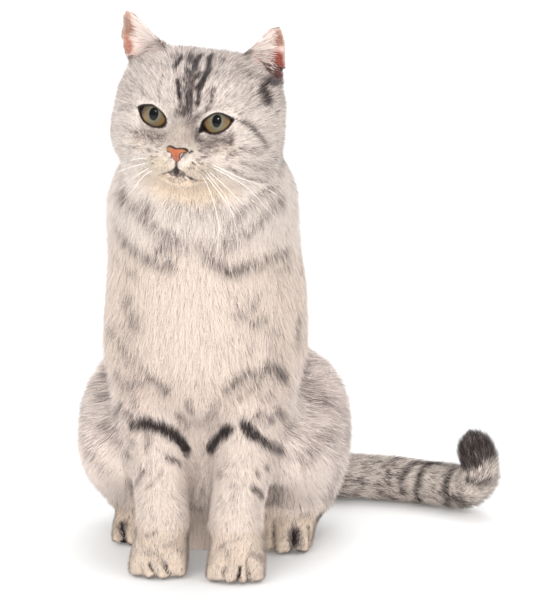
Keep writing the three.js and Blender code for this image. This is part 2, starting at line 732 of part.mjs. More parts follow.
function makeHead() {
  let solid = solidOfField(coat, ...extents.head, cells.head).intersect(headBlock(0));
  for (const [name, side] of sides) {
    solid = solid.add(earSolid(name, side)).add(lids(side));
  }
  solid = solid.subtract(eyeball(1, gap)).subtract(eyeball(-1, gap)).subtract(muzzleBlock(gap));
  for (const [name, side] of sides) {
    const ownEar = largest(solid.intersect(earBlock(name, side, 0)));
    addPiece(headGroup, name + "_ear", ownEar, "coat");
    addPiece(headGroup, name + "_eye", eyeball(side), "eye");
    solid = largest(solid.subtract(earBlock(name, side, gap)));
  }
  addPiece(headGroup, "head", solid, "coat");
}

function makeMuzzle() {
  let solid = solidOfField(coat, ...extents.muzzle, cells.muzzle).intersect(muzzleBlock(0));
  for (const tool of [noseSolid(gap), ...mouthGrooves()]) {
    solid = solid.subtract(tool);
  }
  addPiece(headGroup, "muzzle", largest(solid), "cream");
  const leather = nostrils().reduce((rest, pit) => rest.subtract(pit), noseSolid());
  addPiece(headGroup, "nose", leather, "nose");
}

// ---- the body's pieces ----
const floorBlock = block([-400, -400, -120], [400, 400, 0]);

// A region's corners on one side, in the body's own frame.
function cornersOf({ x, y, z }, side, margin = 0) {
  const [near, far] = side > 0 ? x : [-x[1], -x[0]];
  return [
    [near, y[0], z[0]].map((v) => v - margin),
    [far, y[1], z[1]].map((v) => v + margin),
  ];
}

// The paws are made on a finer grid, and the legs above them end at the same planes.
function makeBody() {
  const toBody = bodyMatrix.clone().invert();
  const ownCoat = placed(toBody, coat);
  let body = solidOfField(coat, ...extents.body, cells.body).subtract(floorBlock);
  body = body.subtract(headBlock(gap)).transform([...toBody.elements]);
  const keep = (name, solid, finish) =>
    addPiece(bodyGroup, name, largest(solid).transform([...bodyMatrix.elements]), finish);
  for (const [part, region] of Object.entries(regions)) {
    for (const [name, side] of sides) {
      const [from, to] = cornersOf(region, side);
      let source = body;
      if (region.cell) {
        const reach = 2 * region.cell;
        const grid = [from.map((v) => v - reach), to.map((v) => v + reach)];
        source = solidOfField(ownCoat, ...grid, region.cell);
      }
      keep(name + "_" + part, source.intersect(block(from, to)), region.cell ? "cream" : "coat");
      body = body.subtract(block(...cornersOf(region, side, gap)));
    }
  }
  for (const [part, level] of Object.entries(levels)) {
    const above = (margin) => block([-200, -200, level - margin], [200, 250, 400]);
    keep(part, body.intersect(above(0)), "coat");
    body = body.subtract(above(gap));
  }
  keep("hips", body, "coat");
}

function makeTail() {
  const rump = solidOfField(coat, ...extents.body, cells.body, gap * 1.2);
  const tail = largest(tailSolid().subtract(floorBlock).subtract(rump));
  const [first, second] = tailSections.cuts;
  const middle = tail.intersect(beyond(first)).subtract(beyond(second, gap));
  addPiece(tailGroup, "tail_root", tail.subtract(beyond(first, gap)), "coat");
  addPiece(tailGroup, "tail_middle", middle, "coat");
  addPiece(tailGroup, "tail_tip", tail.intersect(beyond(second)), "dark");
}

makeHead();
makeMuzzle();
makeBody();
makeTail();

// The origin is on the floor, under the middle of the whole box.
const box = new THREE.Box3().setFromObject(cat, true);
const centre = box.getCenter(new THREE.Vector3());
cat.position.set(-centre.x, -centre.y, -box.min.z);

export default cat;
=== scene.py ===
# a silver tabby shorthair cat sitting upright, life size: skin, a coat of mesh tufts, eyes, nose and whiskers
import math
import bpy
import numpy as np
from mathutils import Euler, Matrix, Vector
from mathutils.bvhtree import BVHTree


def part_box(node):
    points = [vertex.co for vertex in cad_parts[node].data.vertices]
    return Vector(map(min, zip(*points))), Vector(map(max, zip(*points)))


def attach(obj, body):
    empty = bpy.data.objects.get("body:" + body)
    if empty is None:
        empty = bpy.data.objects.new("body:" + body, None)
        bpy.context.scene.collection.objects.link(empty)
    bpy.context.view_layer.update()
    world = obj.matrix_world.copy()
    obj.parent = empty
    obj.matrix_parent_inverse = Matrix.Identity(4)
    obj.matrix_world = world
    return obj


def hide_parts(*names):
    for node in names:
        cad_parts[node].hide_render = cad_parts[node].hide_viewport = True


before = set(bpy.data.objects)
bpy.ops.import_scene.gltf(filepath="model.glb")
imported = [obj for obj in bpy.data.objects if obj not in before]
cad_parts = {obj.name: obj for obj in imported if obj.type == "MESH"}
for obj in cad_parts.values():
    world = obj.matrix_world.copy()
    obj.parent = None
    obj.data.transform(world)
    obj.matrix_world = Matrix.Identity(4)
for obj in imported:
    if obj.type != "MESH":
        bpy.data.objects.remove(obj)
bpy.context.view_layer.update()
mm = 0.001
random = np.random.default_rng(7)


# small helpers

def linearColour(hexText):
    channels = [int(hexText[i:i + 2], 16) / 255 for i in (1, 3, 5)]
    return [c / 12.92 if c <= 0.04045 else ((c + 0.055) / 1.055) ** 2.4 for c in channels]


def newMaterial(name, inputs):
    material = bpy.data.materials.new(name)
    material.use_nodes = True
    shader = material.node_tree.nodes["Principled BSDF"]
    for socket, value in inputs.items():
        shader.inputs[socket].default_value = value
    return material, material.node_tree, shader


# adds one shader node, with its settings by name and its sockets linked to outputs
def addNode(tree, kind, settings=None, links=None):
    node = tree.nodes.new("ShaderNode" + kind)
    for name, value in (settings or {}).items():
        if isinstance(name, int) or name in node.inputs.keys():
            node.inputs[name].default_value = value
        else:
            setattr(node, name, value)
    for name, output in (links or {}).items():
        tree.links.new(output, node.inputs[name])
    return node


def deselectAll():
    if bpy.context.object and bpy.context.object.mode != "OBJECT":
        bpy.ops.object.mode_set(mode="OBJECT")
    bpy.ops.object.select_all(action="DESELECT")


def selectOnly(piece):
    deselectAll()
    piece.select_set(True)
    bpy.context.view_layer.objects.active = piece


# leaves the piece in edit mode with the chosen vertices or polygons selected
def selectPart(piece, part, chosen):
    selectOnly(piece)
    bpy.ops.object.mode_set(mode="EDIT")
    bpy.ops.mesh.select_mode(type="FACE" if part == "polygons" else "VERT")
    bpy.ops.mesh.select_all(action="DESELECT")
    bpy.ops.object.mode_set(mode="OBJECT")
    getattr(piece.data, part).foreach_set("select", chosen)
    bpy.ops.object.mode_set(mode="EDIT")


def applyModifier(piece, kind, **settings):
    selectOnly(piece)
    modifier = piece.modifiers.new(kind.title(), kind)
    for name, value in settings.items():
        setattr(modifier, name, value)
    bpy.ops.object.modifier_apply(modifier=modifier.name)


def smoothStep(low, high, value):
    t = np.clip((value - low) / (high - low), 0, 1)
    return t * t * (3 - 2 * t)


def unit(vectors):
    return vectors / np.maximum(np.linalg.norm(vectors, axis=-1, keepdims=True), 1e-12)


# smooth random values from -1 to 1, with bumps about size across
def softNoise(points, size, seed):
    spot = points / size + seed * 17.31
    base = np.floor(spot).astype(np.int64)
    part = spot - base
    part = part * part * (3 - 2 * part)
    total = np.zeros(len(points))
    for corner in range(8):
        step = np.array([corner & 1, corner >> 1 & 1, corner >> 2])
        cell = base + step
        mixed = cell[:, 0] * 73856093 ^ cell[:, 1] * 19349663 ^ cell[:, 2] * 83492791 ^ seed * 2654435
        mixed = (mixed ^ mixed >> 13) * 1274126177 & 0x7FFFFFFF
        total += (mixed % 10007 / 5003.5 - 1) * np.prod(np.where(step, part, 1 - part), axis=1)
    return total


def pointsOf(mesh, what="co"):
    values = np.empty(len(mesh.vertices) * 3)
    mesh.vertices.foreach_get(what, values)
    return values.reshape(-1, 3)


def normalsOf(mesh):
    return pointsOf(mesh, "normal")


def movePoints(mesh, points):
    mesh.vertices.foreach_set("co", (points * mm).ravel())
    mesh.update()


def edgesOf(mesh):
    edges = np.empty(len(mesh.edges) * 2, int)
    mesh.edges.foreach_get("vertices", edges)
    return edges.reshape(-1, 2)


def setValues(layer, kind, values):
    layer.data.foreach_set(kind, values.astype(np.float32).ravel())


# whether each node's name holds the text
def named(nodes, text):
    return np.char.find(nodes, text) >= 0


# distance in mm from each point to a line of points, in two or three dimensions
def distanceToLine(points, line, closed=False):
    line = np.asarray(line, float)
    if len(line) == 1:
        return np.linalg.norm(points - line[0], axis=1)
    ends = np.roll(line, -1, axis=0) if closed else line[1:]
    nearest = np.full(len(points), 1e9)
    for a, b in zip(line, ends):
        along = b - a
        t = np.clip((points - a) @ along / max(along @ along, 1e-9), 0, 1)
        nearest = np.minimum(nearest, np.linalg.norm(points - a - t[:, None] * along, axis=1))
    return nearest


def insideOutline(points, outline):
    inside = np.zeros(len(points), bool)
    x, y = points[:, 0], points[:, 1]
    for (ax, ay), (bx, by) in zip(outline, np.roll(outline, -1, axis=0)):
        crosses = (ay > y) != (by > y)
        if ay != by:
            inside ^= crosses & (x < (bx - ax) * (y - ay) / (by - ay) + ax)
    return inside


# a point of the smooth curve through a, b, c and d, on its way from b to c
def curvePoint(a, b, c, d, t):
    squared, cubed = 2 * a - 5 * b + 4 * c - d, 3 * b - a - 3 * c + d
    return 0.5 * (2 * b + (c - a) * t + squared * t * t + cubed * t ** 3)


# a smooth closed line through a few points
def roundedOutline(corners, steps=8):
    corners = np.asarray(corners, float)
    out = []
    for i in range(len(corners)):
        around = [corners[(i + k) % len(corners)] for k in (-1, 0, 1, 2)]
        out += [curvePoint(*around, t) for t in np.arange(steps) / steps]
    return np.array(out)


def smoothLine(corners, steps=12):
    corners = np.asarray(corners, float)
    padded = np.vstack([2 * corners[0] - corners[1], corners, 2 * corners[-1] - corners[-2]])
    out = []
    for i in range(len(corners) - 1):
        out += [curvePoint(*padded[i:i + 4], t) for t in np.arange(steps) / steps]
    return np.array(out + [corners[-1]])


# the head's own frame, in mm: x to the cat's left, y back, z up
headPlan = {
    "turn": -10.5, "roll": 6.3, "nod": 1.0, "origin": (1.8, -8, 312),
    "eyesMiddle": (-1.3, -35.8, 3.2), "eyesApart": 42, "eyeRadius": 10.4,
}
headTurn = np.array(Euler([math.radians(headPlan[k]) for k in ("nod", "roll", "turn")], "XYZ").to_matrix())
eyeBoxes = [np.array(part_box(side + "_eye")) / mm for side in ("left", "right")]
eyesMiddle = sum(box.mean(axis=0) for box in eyeBoxes) / 2
headOrigin = eyesMiddle - headTurn @ np.array(headPlan["eyesMiddle"])
modelOrigin = headOrigin - np.array(headPlan["origin"])  # on the floor between the fore paws, in mm


def toHead(points):
    return (np.asarray(points) - headOrigin) @ headTurn


def fromHead(points):
    return np.asarray(points) @ headTurn.T + headOrigin


def eyeCentre(side):
    middle = np.array(headPlan["eyesMiddle"])
    return middle + np.array([headPlan["eyesApart"] / 2 * (1 if side == "left" else -1), 0, 0])


# the camera stands 1.6 m in front, a little above the head, and looks down
cameraPlan = {"at": (48.6, -1600, 450), "down": 9.27, "lens": 144}
spot = (np.array(cameraPlan["at"]) + modelOrigin) * mm
bpy.ops.object.camera_add(location=spot, rotation=(math.radians(90 - cameraPlan["down"]), 0, 0))
camera = bpy.context.object
camera.data.sensor_fit = "VERTICAL"
camera.data.sensor_height = 36
camera.data.lens = cameraPlan["lens"]
bpy.context.scene.camera = camera
print("camera placed")


# the skin: one closed surface over all the nodes of flesh, inside them by the coat's depth
skinPlan = {
    "voxel": 1.3, "closeGaps": 0.4, "bodyShare": 0.2,
    "smoothing": 12, "headSmoothing": 8, "pawSmoothing": 16, "napeSmoothing": 50,
    # coat depth, tuft length and root width in mm, and how steeply the tufts stand in degrees
    "coat": {
        "muzzle": (0.9, 3.6, 0.30, 20), "head": (1.6, 6.5, 0.36, 19), "ear": (0.3, 2.4, 0.26, 12),
        "neck": (3.6, 10.5, 0.46, 21), "chest": (3.8, 10.5, 0.46, 19), "hips": (3.8, 11.0, 0.50, 22),
        "foreleg": (1.9, 6.0, 0.40, 19), "thigh": (3.8, 11.5, 0.48, 23), "hock": (2.4, 7.5, 0.44, 20),
        "forepaw": (1.2, 4.8, 0.40, 21), "hindpaw": (1.2, 5.0, 0.42, 21),
        "tail_root": (3.4, 8.5, 0.50, 18), "tail_middle": (3.2, 6.8, 0.50, 20),
        "tail_tip": (2.9, 7.5, 0.50, 28),
    },
}
fleshNodes = sorted(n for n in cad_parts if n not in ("left_eye", "right_eye", "nose"))


def coatOf(node):
    return skinPlan["coat"].get(node) or skinPlan["coat"][node.split("_")[-1]]


# one surface of all the solids, to find the nearest node from
solidPoints, solidFaces, solidNode = [], [], []
for index, node in enumerate(fleshNodes):
    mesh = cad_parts[node].data
    start = len(solidPoints)
    solidPoints += [v.co.copy() for v in mesh.vertices]
    solidFaces += [[start + v for v in p.vertices] for p in mesh.polygons]
    solidNode += [index] * len(mesh.polygons)
solidTree = BVHTree.FromPolygons(solidPoints, solidFaces)
solidNode = np.array(solidNode)


def nearestNodes(points):
    return solidNode[[solidTree.find_nearest(Vector(p))[2] for p in points]]


deselectAll()
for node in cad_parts.values():
    node.select_set(True)
bpy.context.view_layer.objects.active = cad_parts["chest"]
bpy.ops.object.duplicate()
bpy.ops.object.join()
skin = bpy.context.object
skin.parent = None
skin.name = skin.data.name = "skin"
for key in list(skin.keys()):
    del skin[key]
skin.data.materials.clear()
bpy.ops.object.mode_set(mode="EDIT")
bpy.ops.mesh.select_all(action="SELECT")
bpy.ops.mesh.remove_doubles(threshold=0.00001)
bpy.ops.object.mode_set(mode="OBJECT")
applyModifier(skin, "DISPLACE", strength=skinPlan["closeGaps"] * mm, mid_level=0)
applyModifier(skin, "REMESH", mode="VOXEL", voxel_size=skinPlan["voxel"] * mm)


# keeps the largest of the separate shells
def keepLargestShell(piece):
    edges = edgesOf(piece.data)
    group = np.arange(len(piece.data.vertices))
    while True:
        low = np.minimum(group[edges[:, 0]], group[edges[:, 1]])
        before = group.copy()
        np.minimum.at(group, edges[:, 0], low)
        np.minimum.at(group, edges[:, 1], low)
        group = group[group]
        if (group == before).all():
            break
    selectPart(piece, "vertices", group != np.bincount(group).argmax())
    bpy.ops.mesh.delete(type="VERT")
    bpy.ops.object.mode_set(mode="OBJECT")


keepLargestShell(skin)

# the body keeps fewer faces; the face, ears and paws keep them all
early = pointsOf(skin.data) / mm
earlyNodes = np.array(fleshNodes)[nearestNodes(early * mm)]
plain = ~(named(earlyNodes, "_ear") | named(earlyNodes, "paw") | (earlyNodes == "muzzle"))
plain &= ~((earlyNodes == "head") & (toHead(early)[:, 1] < -10))
skin.vertex_groups.new(name="plain").add(np.flatnonzero(plain).tolist(), 1.0, "REPLACE")
keptShare = 1 - plain.mean() * (1 - skinPlan["bodyShare"])
applyModifier(skin, "DECIMATE", ratio=float(keptShare), vertex_group="plain")
skin.vertex_groups.clear()
print("skin remeshed,", len(skin.data.polygons), "faces")


# splits the faces whose middles, in mm, are wanted
def refine(piece, wanted):
    centres = np.array([p.center for p in piece.data.polygons])
    selectPart(piece, "polygons", wanted(centres / mm))
    bpy.ops.mesh.subdivide(number_cuts=1, smoothness=0)
    bpy.ops.object.mode_set(mode="OBJECT")


def onFineFace(points):
    local = toHead(points)
    chosen = (np.abs(local[:, 0]) < 19) & (local[:, 1] < -52) & (local[:, 2] > -38) & (local[:, 2] < -8)
    for side in ("left", "right"):
        offset = local - eyeCentre(side)
        chosen |= (np.abs(offset[:, 0]) < 15) & (np.abs(offset[:, 2]) < 12) & (offset[:, 1] < 4)
    return chosen


applyModifier(skin, "SMOOTH", factor=0.5, iterations=4)
refine(skin, onFineFace)

skinMesh = skin.data
skinPoints = pointsOf(skinMesh) / mm
skinEdges = edgesOf(skinMesh)
valence = np.maximum(np.bincount(skinEdges.ravel(), minlength=len(skinPoints)), 1)[:, None]


# evens out values over the skin, moving each towards its neighbours' mean
def relax(values, turns, share=0.5):
    values = np.array(values, float)
    flat = values if values.ndim == 2 else values[:, None]
    share = np.broadcast_to(np.asarray(share, float).reshape(-1, 1), (len(flat), 1))
    for _ in range(turns):
        total = np.empty_like(flat)
        for column in range(flat.shape[1]):
            total[:, column] = np.bincount(skinEdges[:, 0], flat[skinEdges[:, 1], column], len(flat))
            total[:, column] += np.bincount(skinEdges[:, 1], flat[skinEdges[:, 0], column], len(flat))
        flat = flat + share * (total / valence - flat)
    return flat if values.ndim == 2 else flat[:, 0]


nodeOf = nearestNodes(skinPoints * mm)
nodeNames = np.array(fleshNodes)[nodeOf]
isPaw = named(nodeNames, "paw")
isEar = named(nodeNames, "_ear")
isFace = np.isin(nodeNames, ["head", "muzzle"])
isBody = ~isPaw & ~isEar & ~isFace
skinPoints = relax(skinPoints, skinPlan["smoothing"], 0.5 * relax(isBody.astype(float), 6))
local = toHead(skinPoints)
skinPoints = relax(skinPoints, skinPlan["headSmoothing"], 0.5 * smoothStep(-14, -22, local[:, 1]) * isFace)
skinPoints = relax(skinPoints, skinPlan["pawSmoothing"], 0.5 * relax(isPaw.astype(float), 4))
local = toHead(skinPoints)
nape = np.isin(nodeNames, ["head", "neck"]) * smoothStep(30, 46, local[:, 1])
nape *= smoothStep(-60, -35, local[:, 2]) * smoothStep(32, 14, local[:, 2])
skinPoints = relax(skinPoints, skinPlan["napeSmoothing"], 0.5 * nape)
local = toHead(skinPoints)
for earSide in (-1, 1):
    ear = np.flatnonzero(isEar & (local[:, 0] * earSide > 0))
    level = np.round(local[ear, 2] / 1.5).astype(int)
    middle = np.bincount(level, local[ear, 0]) / np.maximum(np.bincount(level), 1)
    top = local[ear, 2].max()
    rounded = smoothStep(top - 8, top - 1, local[ear, 2])
    apart = local[ear, 0] - middle[level]
    local[ear, 2] -= 0.07 * apart ** 2 * rounded
    local[ear, 0] += apart * 0.4 * rounded + 0.9 * earSide * rounded
skinPoints = fromHead(local)
movePoints(skinMesh, skinPoints)
skinNormals = unit(relax(normalsOf(skinMesh), 3))

coatTable = np.array([coatOf(n) for n in fleshNodes], float)[nodeOf]
coatTable = relax(coatTable, 20)
coatDepth, tuftLength, tuftWidth, tuftLift = coatTable.T
local = toHead(skinPoints)
cupFloor = (nodeNames == "head") & (local[:, 1] > 2) & (local[:, 2] > 24) & (np.abs(local[:, 0]) > 26)
outward = (skinNormals @ headTurn)[:, 0] * np.sign(local[:, 0])
backward = (skinNormals @ headTurn)[:, 1]
innerHalf = smoothStep(47, 41, np.abs(local[:, 0]))
inCup = smoothStep(-0.03, -0.3, backward) * (1 - smoothStep(0.7, 0.95, outward) * (1 - innerHalf))
inCup = np.maximum(inCup, innerHalf * smoothStep(0.35, 0.6, outward) * smoothStep(0.35, 0.1, backward))
inCup = relax(inCup * (isEar | cupFloor), 1)
earFoot = isEar * (1 - inCup) * smoothStep(40, 31, local[:, 2])  # the head's fur grows up over the ear's back
nearCup = (nodeNames == "head") * smoothStep(-24, -12, local[:, 1]) * (local[:, 1] <= 2)
nearCup = nearCup * smoothStep(22, 30, local[:, 2]) * smoothStep(18, 26, np.abs(local[:, 0]))
earFurs = ((earFoot, (6.5, 0.36, 24)), (inCup * cupFloor, (4.5, 0.3, 16)), (nearCup, (7.0, 0.36, 28)))
for share, fur in earFurs:
    tuftLength += share * (fur[0] - tuftLength)
    tuftWidth += share * (fur[1] - tuftWidth)
    tuftLift += share * (fur[2] - tuftLift)
nearFloor = smoothStep(14, 2, skinPoints[:, 2]) * (skinNormals[:, 2] < -0.3)
skinPoints = skinPoints - skinNormals * (coatDepth * (1 - 0.9 * nearFloor))[:, None]
print("skin shaped")

# the face: lids over the eyeballs, the nose's bed and the line of the mouth, all in the head's frame in mm
facePlan = {
    "leftEye": [(-11.4, -7.2), (-11.2, -3.8), (-10.0, -0.2), (-6.8, 3.1), (-3.8, 5.4), (-1.4, 6.8),
                (0.9, 7.3), (3.9, 7.0), (6.3, 6.2), (8.6, 5.0), (10.4, 3.5), (9.6, 1.6), (8.4, -0.8),
                (6.4, -3.1), (3.7, -4.9), (0.1, -6.3), (-3.7, -6.6), (-6.7, -6.0), (-9.2, -6.8)],
    "rightEye": [(-11.2, 3.6), (-9.7, 0), (-6.5, -3.9), (-3, -5.8), (0.3, -7), (3.9, -7.3), (6.8, -6.4),
                 (8.2, -4.8), (8.5, -1.6), (7.9, 0.7), (5.8, 3.1), (3.1, 5.2), (0.3, 6.6), (-2.5, 7.1),
                 (-7.8, 6), (-10.2, 4.8)],
    "lidThickness": 0.9, "lidWidth": 7.5, "socketDepth": 2.6,
    "noseOutline": [(-6.9, -14.0), (-6.6, -13.1), (-5.1, -12.1), (-2.7, -12.4), (-0.3, -12.9), (2.0, -12.5),
                    (4.4, -12.4), (6.0, -13.0), (6.9, -14.0), (6.6, -14.9), (5.3, -15.2), (4.3, -15.9),
                    (3.8, -16.9), (4.0, -18.6), (3.3, -19.8), (0.9, -21.6), (-1.3, -20.6), (-2.5, -19.2),
                    (-3.3, -17.5), (-4.2, -16.3), (-5.8, -15.8)],
    "mouthLine": [[(0.6, -21.6), (0.2, -26.0)], [(0.2, -26.0), (-3.7, -29.1), (-7.8, -31.5), (-10, -32)],
                  [(0.2, -26.0), (3.0, -28.5), (5.8, -30.2), (9, -31.2), (12.2, -32.2), (14.7, -33.2)]],
    "mouthDepth": 1.6, "mouthWidth": 1.0,
}
eyeOutlines = {side: roundedOutline(facePlan[side + "Eye"]) for side in ("left", "right")}


# depth of the lid's surface over the eyeball, from the offset across the face
def domeDepth(across, radius):
    reach = np.minimum((across ** 2).sum(axis=1), (radius * 0.93) ** 2)
    return -np.sqrt(radius ** 2 - reach)


local = toHead(skinPoints)
for side, outline in eyeOutlines.items():
    offset = local - eyeCentre(side)
    near = (np.abs(offset[:, 0]) < 24) & (np.abs(offset[:, 2]) < 22) & (offset[:, 1] < 2)
    index = np.flatnonzero(near & (local[:, 1] < -25))
    across = offset[index][:, [0, 2]]
    apart = distanceToLine(across, outline, closed=True)
    inside = insideOutline(across, outline)
    radius = headPlan["eyeRadius"]
    lid = domeDepth(across, radius + facePlan["lidThickness"])
    bed = domeDepth(across, radius - facePlan["socketDepth"])
    depth = offset[index][:, 1]
    shut = smoothStep(facePlan["lidWidth"], 0.5, apart)
    onLid = depth + shut * (np.minimum(lid, depth + 6) - depth)
    local[index, 1] = np.where(inside, bed, onLid) + eyeCentre(side)[1]

across = local[:, [0, 2]]
front = (local[:, 1] < -46) & (np.abs(local[:, 0]) < 22)
index = np.flatnonzero(front)
noseOutline = roundedOutline(facePlan["noseOutline"])
apart = distanceToLine(across[index], noseOutline, closed=True)
inside = insideOutline(across[index], noseOutline)
local[index, 1] += np.where(inside, 0.6 + 1.4 * smoothStep(0, 2.5, apart), 0)
mouthNear = np.full(len(index), 1e9)
for line in facePlan["mouthLine"]:
    mouthNear = np.minimum(mouthNear, distanceToLine(across[index], smoothLine(line)))
local[index, 1] += facePlan["mouthDepth"] * np.exp(-(mouthNear / facePlan["mouthWidth"]) ** 2)
local[index, 1] -= 0.5 * np.exp(-((mouthNear - 2.4) / 1.4) ** 2) * (across[index][:, 1] < -22)  # full lips
skinPoints = fromHead(local)

# toes: clefts drawn on the front of each paw as (depth, width, points as x and z), in mm
clefts = {
    "right_forepaw": [(2.3, 1.5, [(-34, 12), (-31.5, 7), (-29, 0.5)]), (1.0, 1.6, [(-40, 8), (-38.5, 2)]),
                      (2.3, 1.5, [(-25, 14), (-22, 9), (-18, 2)]),
                      (1.4, 2.6, [(-27, 23), (-24, 18), (-22, 9)]),
                      (1.2, 2.4, [(-36, 20), (-34, 13), (-31, 6)])],
    "left_forepaw": [(2.0, 1.5, [(18, 13), (15.5, 9), (17, 2)]), (2.4, 1.5, [(28, 12), (27, 8), (26, 0.5)]),
                     (2.1, 1.4, [(33, 17), (34, 10), (34.5, 1)]), (1.3, 2.6, [(27, 22), (28, 15), (27, 7)]),
                     (1.3, 2.4, [(18, 21), (18, 14), (16, 6)])],
    "left_hindpaw": [(3.0, 1.3, [(50, 18), (50, 11), (50, 0.5)]), (1.8, 1.0, [(76, 19), (77, 13), (77, 1)]),
                     (4.5, 1.7, [(65.5, 15), (65.5, 9), (64.5, 0.5)])],
    "right_hindpaw": [(1.6, 1.4, [(-53, 21), (-56, 17), (-58, 13)]),
                      (4.5, 2.0, [(-58, 12), (-57.5, 7), (-56, 0.5)])],
}
bodyTurn = np.array(Matrix.Rotation(math.radians(-4.5), 3, "Z"))
cleftShade = np.zeros(len(skinPoints))
for node, lines in clefts.items():
    middle = np.array(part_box(node))[:, 1].mean() / mm
    mine = np.flatnonzero((nodeNames == node) & (skinPoints[:, 1] < middle))
    flat = (skinPoints - modelOrigin)[mine][:, [0, 2]]
    pushed = np.zeros(len(mine))
    for depth, width, line in lines:
        away = distanceToLine(flat, smoothLine(line))
        cleft = depth * np.exp(-(away / width) ** 2) + 0.35 * depth * np.exp(-(away / width / 2.6) ** 2)
        pushed = np.maximum(pushed, cleft)
        if width < 2.2:  # the wider ones only part the toes softly
            # painted shade: the narrow clefts are darkened, most where they are deep
            dark = min(depth / 2.4, 1) * smoothStep(width * 1.1, width * 0.45, away)
            cleftShade[mine] = np.maximum(cleftShade[mine], dark)
    skinPoints[mine] -= skinNormals[mine] * pushed[:, None]
# the paws' bottom edge is darker: dark pads, with painted contact shade by the floor
solesAndContactShade = isPaw * smoothStep(2.2, 0.8, skinPoints[:, 2]) * np.where(named(nodeNames, "hind"), 1, 0.7)
cleftShade = np.maximum(cleftShade, solesAndContactShade)
movePoints(skinMesh, skinPoints)
bpy.context.view_layer.update()
skinNormals = normalsOf(skinMesh)
print("face and toes shaped")

# where the fur points: back from the nose, down the body, along the tail
tailPath = np.array([(22, 172, 32), (62, 193, 23), (105, 199, 19), (145, 190, 18.5), (178, 170, 19),
                     (199, 151, 22), (206.5, 144, 34), (202.5, 147, 50)]) + modelOrigin
tailLine = smoothLine(tailPath, 20)
tailTangents = unit(np.gradient(tailLine, axis=0))
tailRun = np.concatenate([[0], np.cumsum(np.linalg.norm(np.diff(tailLine, axis=0), axis=1))])
noseTip = fromHead([0, -62, -14])


def nearestOnTail(points):
    best = np.full(len(points), 1e9)
    where = np.zeros(len(points), int)
    for i, spot in enumerate(tailLine):
        away = ((points - spot) ** 2).sum(axis=1)
        closer = away < best
        best[closer], where[closer] = away[closer], i
    return where


lies = {
    "neck": (0, 0.05, -1), "chest": (0, 0.05, -1), "hips": (0, 0.1, -1), "foreleg": (0, 0.1, -1),
    "thigh": (0, 0.55, -0.8), "hock": (0, 0.2, -1), "forepaw": (0, -0.9, -0.45), "hindpaw": (0, -0.9, -0.45),
}
lie = np.zeros_like(skinPoints)
kinds = np.array([n.split("_")[-1] for n in nodeNames])  # such as ear, thigh or forepaw, without the side
for kind, direction in lies.items():
    lie[kinds == kind] = bodyTurn @ np.array(direction)
lie[isFace] = unit(skinPoints[isFace] - noseTip)
lie[isFace] += smoothStep(-22, 6, local[isFace, 1])[:, None] * np.array([0, 0.3, -0.75])
underChin = smoothStep(-22, -30, local[isFace, 2]) * smoothStep(16, 4, np.abs(local[isFace, 0]))
lie[isFace] += underChin[:, None] * np.array([0, 0, -0.8])
local = toHead(skinPoints)
lie[kinds == "ear"] = headTurn @ np.array([0, 0.1, 1])
earFront = inCup > 0.3
upward = np.where(local[earFront, 2] > 56, 0.9, 0.1 + 0.012 * (local[earFront, 2] - 24))
outwardUp = np.column_stack([np.sign(local[earFront, 0]), np.zeros(earFront.sum()), upward])
lie[earFront] = outwardUp @ headTurn.T
outwardUp = np.column_stack([0.8 * np.sign(local[:, 0]), np.zeros(len(local)), np.full(len(local), 0.75)])
lie += (outwardUp @ headTurn.T - lie) * nearCup[:, None]
onTail = named(nodeNames, "tail")
lie[onTail] = tailTangents[nearestOnTail(skinPoints[onTail])]
sideways = np.where(np.isin(kinds, ["thigh", "hips"]), np.sign((skinPoints - modelOrigin)[:, 0]), 0)
lie[:, 0] += 0.25 * sideways
for _ in range(3):
    lie = relax(lie, 5)
    lie -= (lie * skinNormals).sum(axis=1)[:, None] * skinNormals
    lie = unit(lie)
